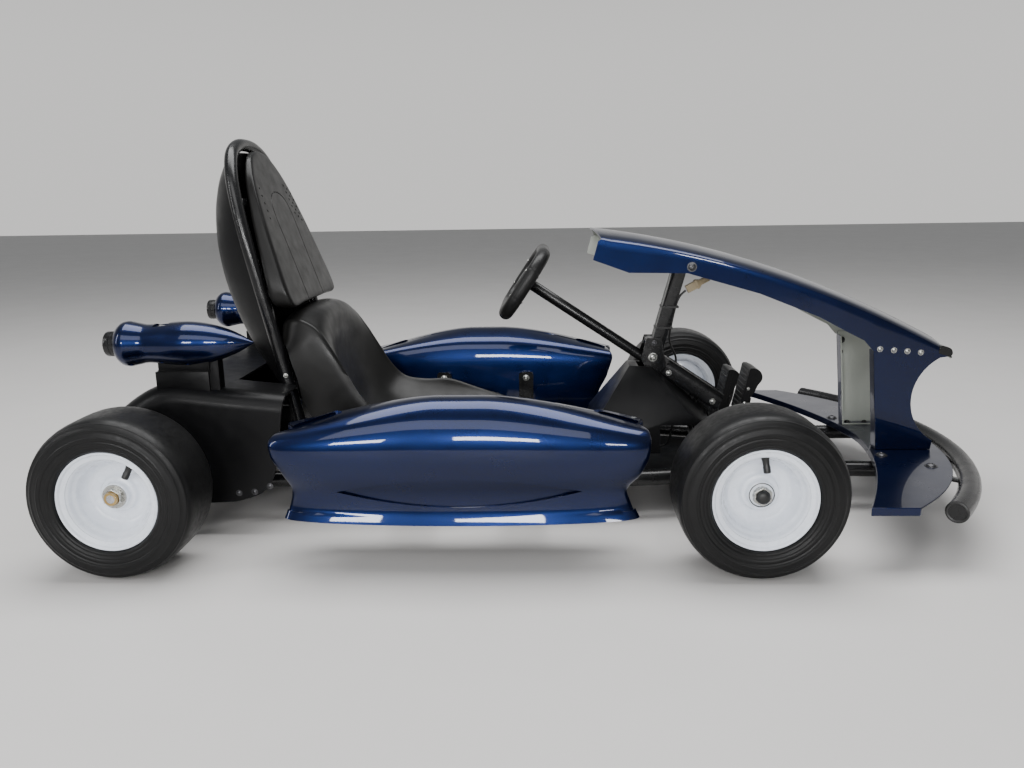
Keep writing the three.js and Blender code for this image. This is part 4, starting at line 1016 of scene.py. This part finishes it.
def add_rear_cover():
    cover = mesh_object("rear_fairing", cover_body(0))
    side_outline = [
        (-752, 290), (-752, 246), (-758, 200), (-775, 105), (-795, 78), (-838, 63), (-900, 60), (-1100, 60),
        (-1100, 290),
    ]
    side_view = prism(rounded(side_outline, 14, 4), "xz", -COVER_HALF - 10, COVER_HALF + 10)
    carved(cover, [side_view], "INTERSECT")
    gap_x, gap_half, gap_z = SEAT_GAP
    cuts = [
        cover_body(COVER_SHEET),
        block((gap_x[0], -gap_half, gap_z[0]), (gap_x[1], gap_half, gap_z[1])),
        block((-1050, 34 - COVER_HALF, 0), (-700, COVER_HALF - 34, 100)),
    ]
    for _, sign in SIDES:
        cuts.append(side_block(sign, (REAR_X - 20, REAR_X + 20), (200, COVER_HALF + 20), (40, AXLE_Z + 20)))
    carved(cover, cuts)
    shade(cover, 30)
    finish_piece(cover, "rear_cover", stands_for=["rear_cover"])
    bolts = [bolt_shape((x, sign * COVER_HALF, z), (0, sign, 0), 4.2, 3)
             for _, sign in SIDES for x, z in ((-811, 80), (-784, 90), (-838, 78))]
    piece("rear_fairing_bolts", merged(*bolts), "rear_cover", slot="dark_steel")


add_rear_cover()

# ---- thrusters -------------------------------------------------------------------------
THRUSTER_Y, THRUSTER_Z = 217, 332
THRUSTER_PROFILE = (
    (0, -800), (9, -814), (21, -838), (31, -868), (36.5, -905), (36, -930), (33, -962), (32.5, -980),
    (36, -998), (38, -1008), (36.5, -1017), (30, -1025), (22, -1028), (0, -1028),
)
NOZZLE_PROFILE = (
    (0, -1028.3), (19, -1028.3), (21, -1030), (21, -1036.2), (20.5, -1036.6), (20.5, -1037.6), (21, -1038),
    (21, -1045), (20.4, -1046.6), (19.2, -1047), (17, -1046.6), (16, -1045), (15.5, -1035), (0, -1034),
)


def add_thruster(side, sign):
    y = sign * THRUSTER_Y
    curve = smooth_line([(r, x, 0) for r, x in THRUSTER_PROFILE[:-1]], 6)
    profile = [(0, curve[0].y)] + [(max(p.x, 0.4), p.y) for p in curve[1:]] + [(0, -1028)]
    body = mesh_object(f"thruster_body_{side}", lathe(profile, (0, y, THRUSTER_Z), "X", 72))
    slot_cut = block((-963, y - 14, THRUSTER_Z + 29.5), (-938, y + 14, THRUSTER_Z + 60))
    dimples = [bar((x, y - 20 * k, THRUSTER_Z - 40), (x, y - 14 * k, THRUSTER_Z - 24), 4.5, 20)
               for x, k in ((-1004, 1), (-953, 1), (-909, 1), (-1004, -1), (-953, -1), (-909, -1))]
    carved(body, [slot_cut, merged(*dimples)])
    shade(body, 32)
    node = f"thruster_{side}"
    finish_piece(body, node, stands_for=[node])
    nozzle = f"thruster_nozzle_{side}"
    piece(f"nozzle_{side}", lathe(NOZZLE_PROFILE, (0, y, THRUSTER_Z), "X", 64), nozzle, "frame_black",
          stands_for=[nozzle], angle=30)
    keep_cad(f"thruster_pedestal_{side}", 1.2, 3)


for side, sign in SIDES:
    add_thruster(side, sign)

# ---- canopy ----------------------------------------------------------------------------
CANOPY_HALF = 98
CANOPY_REAR, CANOPY_NOSE = -232, 400
CANOPY_CROWN = 15
SHEET = 3
CANOPY_STATION = 8
SKIRT_CORNERS = (
    (-240, 455), (-169, 429), (-67, 427), (60, 390), (165, 348), (223, 317), (247, 305), (264, 286),
    (367, 271), (400, 276),
)


def roof_edge(x):
    return 445.2 - 0.2704 * x - 0.000339 * x * x


def skirt_edge(x):
    for (x0, z0), (x1, z1) in zip(SKIRT_CORNERS, SKIRT_CORNERS[1:]):
        if x <= x1:
            return mix(z0, z1, (x - x0) / (x1 - x0))
    return SKIRT_CORNERS[-1][1]


def canopy_row(x):
    edge = roof_edge(x)
    rear = max(0, (-200 - x) / (-200 - CANOPY_REAR))
    sweep = 14 * rear
    drop = max(0, x - 385) * 0.3
    wide = CANOPY_HALF
    row = [(wide, mix(skirt_edge(x), edge - 6 - drop, k / 4), x + 0.6 * sweep * k / 4) for k in range(5)]
    row += [(wide - 0.8, edge - 2.2 - drop, x + sweep), (wide - 3.2, edge - 0.3 - drop, x + sweep)]
    for share in (0.9, 0.72, 0.55, 0.38, 0.19, 0):
        lift = CANOPY_CROWN * (1 - share ** 2) ** 0.9
        row.append((share * wide, edge + lift - drop, x + sweep * share ** 1.2))
    return mirrored_row(row)


def paint_inside(obj, chosen):
    """Primer on the faces for which chosen(face) is true."""
    obj.data.materials.append(PRIMER)
    for face in obj.data.polygons:
        if chosen(face):
            face.material_index = 1


def add_canopy():
    stations = sorted({*range(CANOPY_REAR, CANOPY_NOSE, CANOPY_STATION), *[x for x, _ in SKIRT_CORNERS[1:]]})
    grid = [canopy_row(x) for x in stations]
    count = len(grid) * len(grid[0])
    roof = piece("canopy_roof", skin(grid, SHEET), "canopy", stands_for=["canopy"], angle=26)
    paint_inside(roof, lambda face: all(v >= count for v in face.vertices))
    nose = [(396, 277), (399.6, 277), (399.6, roof_edge(400) - 6), (396, roof_edge(400) - 4)]
    piece("canopy_nose", prism(nose, "xz", 1 - CANOPY_HALF, CANOPY_HALF - 1), "canopy", slot="frame_black")
    trim = rounded([(377, 281), (399, 274.5), (403, 280), (400.5, 288.5), (393, 292.5), (379, 295.5)], 4, 5)
    piece("canopy_nose_trim", prism(trim, "xz", -CANOPY_HALF - 0.8, CANOPY_HALF + 0.8), "canopy",
          slot="frame_black", bevel=1.2)
    for side, sign in SIDES:
        y, outward = sign * CANOPY_HALF, (0, sign, 0)
        add_bolts(f"canopy_bolt_{side}", [(-59.9, y, 437.9)], outward, 6.5, 5, "canopy", "dark_steel")
        row = [(x, y, z) for x, z in ((275, 289.6), (299.5, 287.4), (323, 285.4), (346.5, 283))]
        add_bolts(f"canopy_screws_{side}", row, outward, 4, 3, "canopy")


add_canopy()

LEAD_ROUTE = (
    (-52.5, 0, 386.5), (-64, 0, 374), (-77, 0, 325), (-79, 6, 290), (-64, 20, 254), (-62, 35, 208),
    (-63, 38, 180), (-64, 40, 110), (-76, 41, 74), (-110, 42, 69), (-200, 42, 69), (-290, 42, 73),
    (-330, 42, 87), (-380, 42, 91), (-500, 42, 91), (-640, 42, 92), (-730, 42, 96), (-775.7, 42, 98),
)
piece("lead_cable", tube(smooth_line(LEAD_ROUTE, 8), 2, 12), "canopy_lead", slot="cable_black",
      stands_for=["canopy_lead"])

# ---- nose ------------------------------------------------------------------------------
NOSE_Z = 103
NOSE_HALF = 383


def upright_outline():
    hollow = []
    for k in range(40):
        angle = mix(1.05, -1.05, k / 39)
        hollow.append((427 - 88 * math.cos(angle), 196 + 88 * math.sin(angle)))
    return [(283, NOSE_Z + 0.3), (266, 282), (268, 292), (364, 289), *hollow, (381, NOSE_Z + 0.3)]


def add_upright(side, sign):
    outer = CANOPY_HALF - SHEET - 0.5
    node = f"upright_{side}"
    plate = prism(upright_outline(), "xz", *across(sign, outer - 3, outer))
    fold = prism([(283, NOSE_Z + 0.3), (266, 286), (269, 286), (286, NOSE_Z + 0.3)], "xz",
                 *across(sign, outer - 22, outer - 0.4))
    foot = side_block(sign, (284, 378), (outer - 22, outer - 0.4), (NOSE_Z + 0.3, NOSE_Z + 3.3))
    obj = piece(node + "_plate", merged(plate, fold, foot), node, stands_for=[node], bevel=0.8)
    paint_inside(obj, lambda face: face.normal.y * sign < -0.6)
    bolts = [bolt_shape((x, sign * (outer - 12), NOSE_Z + 3.3), (0, 0, 1), 5, 4) for x in (296, 330, 362)]
    bolts.append(bolt_shape((276, sign * (outer - 3), 274), (0, -sign, 0), 5, 4))
    bolts.append(bolt_shape((276, sign * (outer - 3), 250), (0, -sign, 0), 3.5, 3))
    piece(node + "_bolts", merged(*bolts), node, slot="cable_black")


for side, sign in SIDES:
    add_upright(side, sign)


def nose_outline(inset, front_extra):
    steps = 60
    rear = []
    front = []
    for i in range(steps + 1):
        y = mix(inset - NOSE_HALF, NOSE_HALF - inset, i / steps)
        rear.append((284 + inset - 6.9e-3 * abs(y) ** 1.64, y))
        front.append((407 + front_extra - 1.6e-5 * abs(y) ** 2.7 - 0.05 * abs(y), y))
    return rear + front[::-1]


def add_nose_plate():
    plate = mesh_object("nose_tray", prism(nose_outline(0, 0), "xy", NOSE_Z - 13, NOSE_Z))
    carved(plate, [prism(nose_outline(3, 6), "xy", NOSE_Z - 30, NOSE_Z - 3)])
    soften(plate, 1.2, 3)
    finish_piece(plate, "nose_plate", stands_for=["nose_plate"])
    bolts = [(x, sign * y, NOSE_Z) for _, sign in SIDES for x, y in ((281, 127), (340, 189))]
    add_bolts("nose_tray_bolts", bolts, (0, 0, 1), 8, 5, "nose_plate", "dark_steel")


add_nose_plate()

BUMPER_HALF, BUMPER_Z, BUMPER_TUBE, BUMPER_ARC = 375, 93, 17, 580


def add_bumper():
    reach = 449 - BUMPER_TUBE - BUMPER_ARC
    line = []
    for k in range(61):
        y = mix(-BUMPER_HALF, BUMPER_HALF, k / 60)
        line.append((reach + math.sqrt(BUMPER_ARC ** 2 - y ** 2), y, BUMPER_Z))
    shapes = [tube(line, BUMPER_TUBE, 32)]
    for _, sign in SIDES:
        shapes.append(side_block(sign, (300, 424), (106, 134), (NOSE_Z - 12, NOSE_Z - 8)))
        shapes.append(bar((343, sign * 220, NOSE_Z - 8), (377, sign * 245, BUMPER_Z), 4.5))
    piece("bumper_tube", merged(*shapes), "front_bumper", stands_for=["front_bumper"], angle=40)
    for side, sign in SIDES:
        add_bumper_end(side, Vector(line[-1 if sign > 0 else 0]), Vector(line[-2 if sign > 0 else 1]))


def add_bumper_end(side, end, before):
    """Moulded plug in the tube's mouth with its screw."""
    along = (end - before).normalized()
    profile = [(0, -4), (10.5, -4), (12, -2), (12.6, 0.6), (14.4, 1.4), (16.2, 0.6), (16.6, -0.8),
               (16.6, -5), (0, -5)]
    piece(f"bumper_plug_{side}", aimed(profile, end, along, 40), "front_bumper", slot="cable_black")
    add_bolts(f"bumper_screw_{side}", [end - along * 4], along, 2.2, 1.6, "front_bumper", "dark_steel")


add_bumper()

# ---- side pods -------------------------------------------------------------------------
POD_REAR, POD_FRONT = -737, -161
# (y, z) at mid length from the inner lower edge over the top to the outer lower edge,
# then how far the rear and the front ends step in.
POD_SECTION = (
    (268, 76, 26, 22), (266, 118, 26, 34), (268, 165, 14, 14), (273, 214, 4, 2), (284, 243, 10, 6),
    (304, 257, 18, 10), (336, 268, 36, 18), (362, 264, 30, 14), (384, 244, 8, 3), (397, 214, 0, 0),
    (400, 184, 4, 2), (392, 152, 18, 14), (381, 124, 27, 33), (379, 100, 22, 26), (386, 76, 14, 14),
)
POD_CREST = (0.42, 0.55)
POD_SAG = (52, 48)
POD_SHEET = 4
EYE_MIDDLE = (-450, 127)
EYE_HALF = (187, 24)
EYE_DEPTH = (1.0, 3.2)


def pod_section():
    """The section as a smooth curve: (y, z, rear step, front step) at each spot."""
    spots = smooth_line([(y, z, 0) for y, z, _, _ in POD_SECTION], 6)
    steps_in = smooth_line([(rear, front, 0) for _, _, rear, front in POD_SECTION], 6)
    return [(spot.x, spot.y, step.x, step.y) for spot, step in zip(spots, steps_in)]


def pod_sag(t):
    """How far the crest sinks towards the ends; it is level between the two shares."""
    rear_share, front_share = POD_CREST
    if t < rear_share:
        return POD_SAG[0] * ((rear_share - t) / rear_share) ** 1.6
    return POD_SAG[1] * (max(0, t - front_share) / (1 - front_share)) ** 1.6


def pod_spot(section_spot, t, sign):
    """Point of the pod at share t of its length, from its rear end to its front end."""
    y, z, rear_step, front_step = section_spot
    bow = max(math.sin(math.pi * t), 0) ** 0.4
    droop = pod_sag(t) * (max(0, z - 170) / 100) ** 2
    waist = (-24 if y > 330 else 10) * (1 - bow)
    lift = 6 * (1 - bow) if z < 90 else 0
    x = mix(POD_REAR + rear_step, POD_FRONT - front_step, t)
    return Vector((x, sign * (y + waist), z - droop + lift))


def pod_grid(sign):
    section = pod_section()
    grid = []
    count = 90
    for i in range(count + 1):
        t = 0.5 - 0.5 * math.cos(math.pi * i / count)
        row = [pod_spot(spot, t, sign) for spot in section]
        grid.append(row if sign > 0 else row[::-1])
    return grid


def eye_tool(sign):
    """What is pressed out of the outer face: a long lens, deeper at its lower edge than at its upper edge."""
    lower_face = [spot for spot in pod_section() if spot[0] > 370 and spot[1] < 190]

    def face_spot(x, z, out):
        for (y0, z0, r0, f0), (y1, z1, r1, f1) in zip(lower_face, lower_face[1:]):
            if z >= z1:
                k = (z - z0) / (z1 - z0)
                y, rear_step, front_step = mix(y0, y1, k), mix(r0, r1, k), mix(f0, f1, k)
                break
        start, end = POD_REAR + rear_step, POD_FRONT - front_step
        spot = pod_spot((y, z, rear_step, front_step), (x - start) / (end - start), sign)
        return Vector((x, spot.y + sign * out, z))
    along, over = 72, 12
    layers = []
    for low, high in ((6, 6), (-EYE_DEPTH[1], -EYE_DEPTH[0])):
        rows = []
        for i in range(along + 1):
            share = -math.cos(math.pi * i / along)
            reach = max(EYE_HALF[1] * (1 - share * share), 0.15)
            x = EYE_MIDDLE[0] + EYE_HALF[0] * share
            rows.append([face_spot(x, EYE_MIDDLE[1] + reach * (2 * j / over - 1), mix(low, high, j / over))
                         for j in range(over + 1)])
        layers.append(rows)
    return [p for rows in layers for row in rows for p in row], stitched(along + 1, over + 1)


def add_pod(side, sign):
    node = f"side_pod_{side}"
    pod = mesh_object(node + "_shell", skin(pod_grid(sign), POD_SHEET))
    carved(pod, [eye_tool(sign)])
    soften(pod, 0.7, 3, 50)
    finish_piece(pod, node, stands_for=[node])
    bolts = [(x, sign * 267.5, 163) for x in (-536, -358)]
    add_bolts(node + "_bolts", bolts, (0, -sign, 0), 6, 5, node)


for side, sign in SIDES:
    add_pod(side, sign)

# ---- room ------------------------------------------------------------------------------
FLOOR_HALF = 14000


def add_floor():
    size = FLOOR_HALF
    corners = [(-size, -size, 0), (size, -size, 0), (size, size, 0), (-size, size, 0)]
    floor = mesh_object("floor", (corners, [(0, 1, 2, 3)]))
    made = material("floor", (0.50, 0.487, 0.475), (0.57, 0.557, 0.545), (0.5, 0.62), patches=1.2, grain=40,
                    grain_height=0.04)
    floor.data.materials.append(made)


def add_world():
    """Pale surroundings: brightest beyond the kart's far side, softer on the near side."""
    world = bpy.data.worlds.new("studio")
    world.use_nodes = True
    tree = world.node_tree
    spot = add_node(tree, "TexCoord", {})["Generated"]
    axes = add_node(tree, "SeparateXYZ", {"Vector": spot})

    def ramp(value, low, high):
        inputs = {"Value": value, "From Min": low, "From Max": high}
        return add_node(tree, "MapRange", inputs, interpolation_type="SMOOTHSTEP")["Result"]
    sides = mixed(tree, ramp(axes["Y"], -0.5, 0.75), (0.17, 0.172, 0.178, 1), (0.80, 0.79, 0.775, 1))
    sky = mixed(tree, ramp(axes["Z"], 0.12, 0.6), sides, (0.26, 0.27, 0.28, 1))
    feed(tree, tree.nodes["Background"], {"Strength": 1.0, "Color": sky})
    bpy.context.scene.world = world


def add_light(name, spot, aim, size, power):
    data = bpy.data.lights.new(name, "AREA")
    data.shape = "RECTANGLE"
    data.size, data.size_y = size
    data.energy = power
    light = bpy.data.objects.new(name, data)
    light.location = spot
    light.rotation_mode = "QUATERNION"
    light.rotation_quaternion = (Vector(aim) - Vector(spot)).to_track_quat("-Z", "Y")
    bpy.context.scene.collection.objects.link(light)


# Name, place and aim in metres, size in metres, power in watts.
LIGHTS = (
    ("overhead", (0, 0.2, 3.2), (0, 0, 0.2), (3.6, 2.0), 170),
    ("front_key", (-0.5, -3.2, 2.7), (0, 0, 0.3), (3.2, 1.4), 45),
    ("window_left", (-1.3, -3.2, 1.0), (0, -0.4, 0.2), (0.5, 0.26), 24),
    ("window_right", (-0.1, -3.2, 1.0), (0, -0.4, 0.2), (0.7, 0.26), 36),
    ("window_front", (1.1, -3.2, 1.0), (0, -0.4, 0.2), (0.36, 0.22), 12),
    ("rear_strip", (-2.6, -1.4, 1.3), (-0.4, 0, 0.4), (0.16, 1.6), 16),
)
add_floor()
add_world()
for light in LIGHTS:
    add_light(*light)
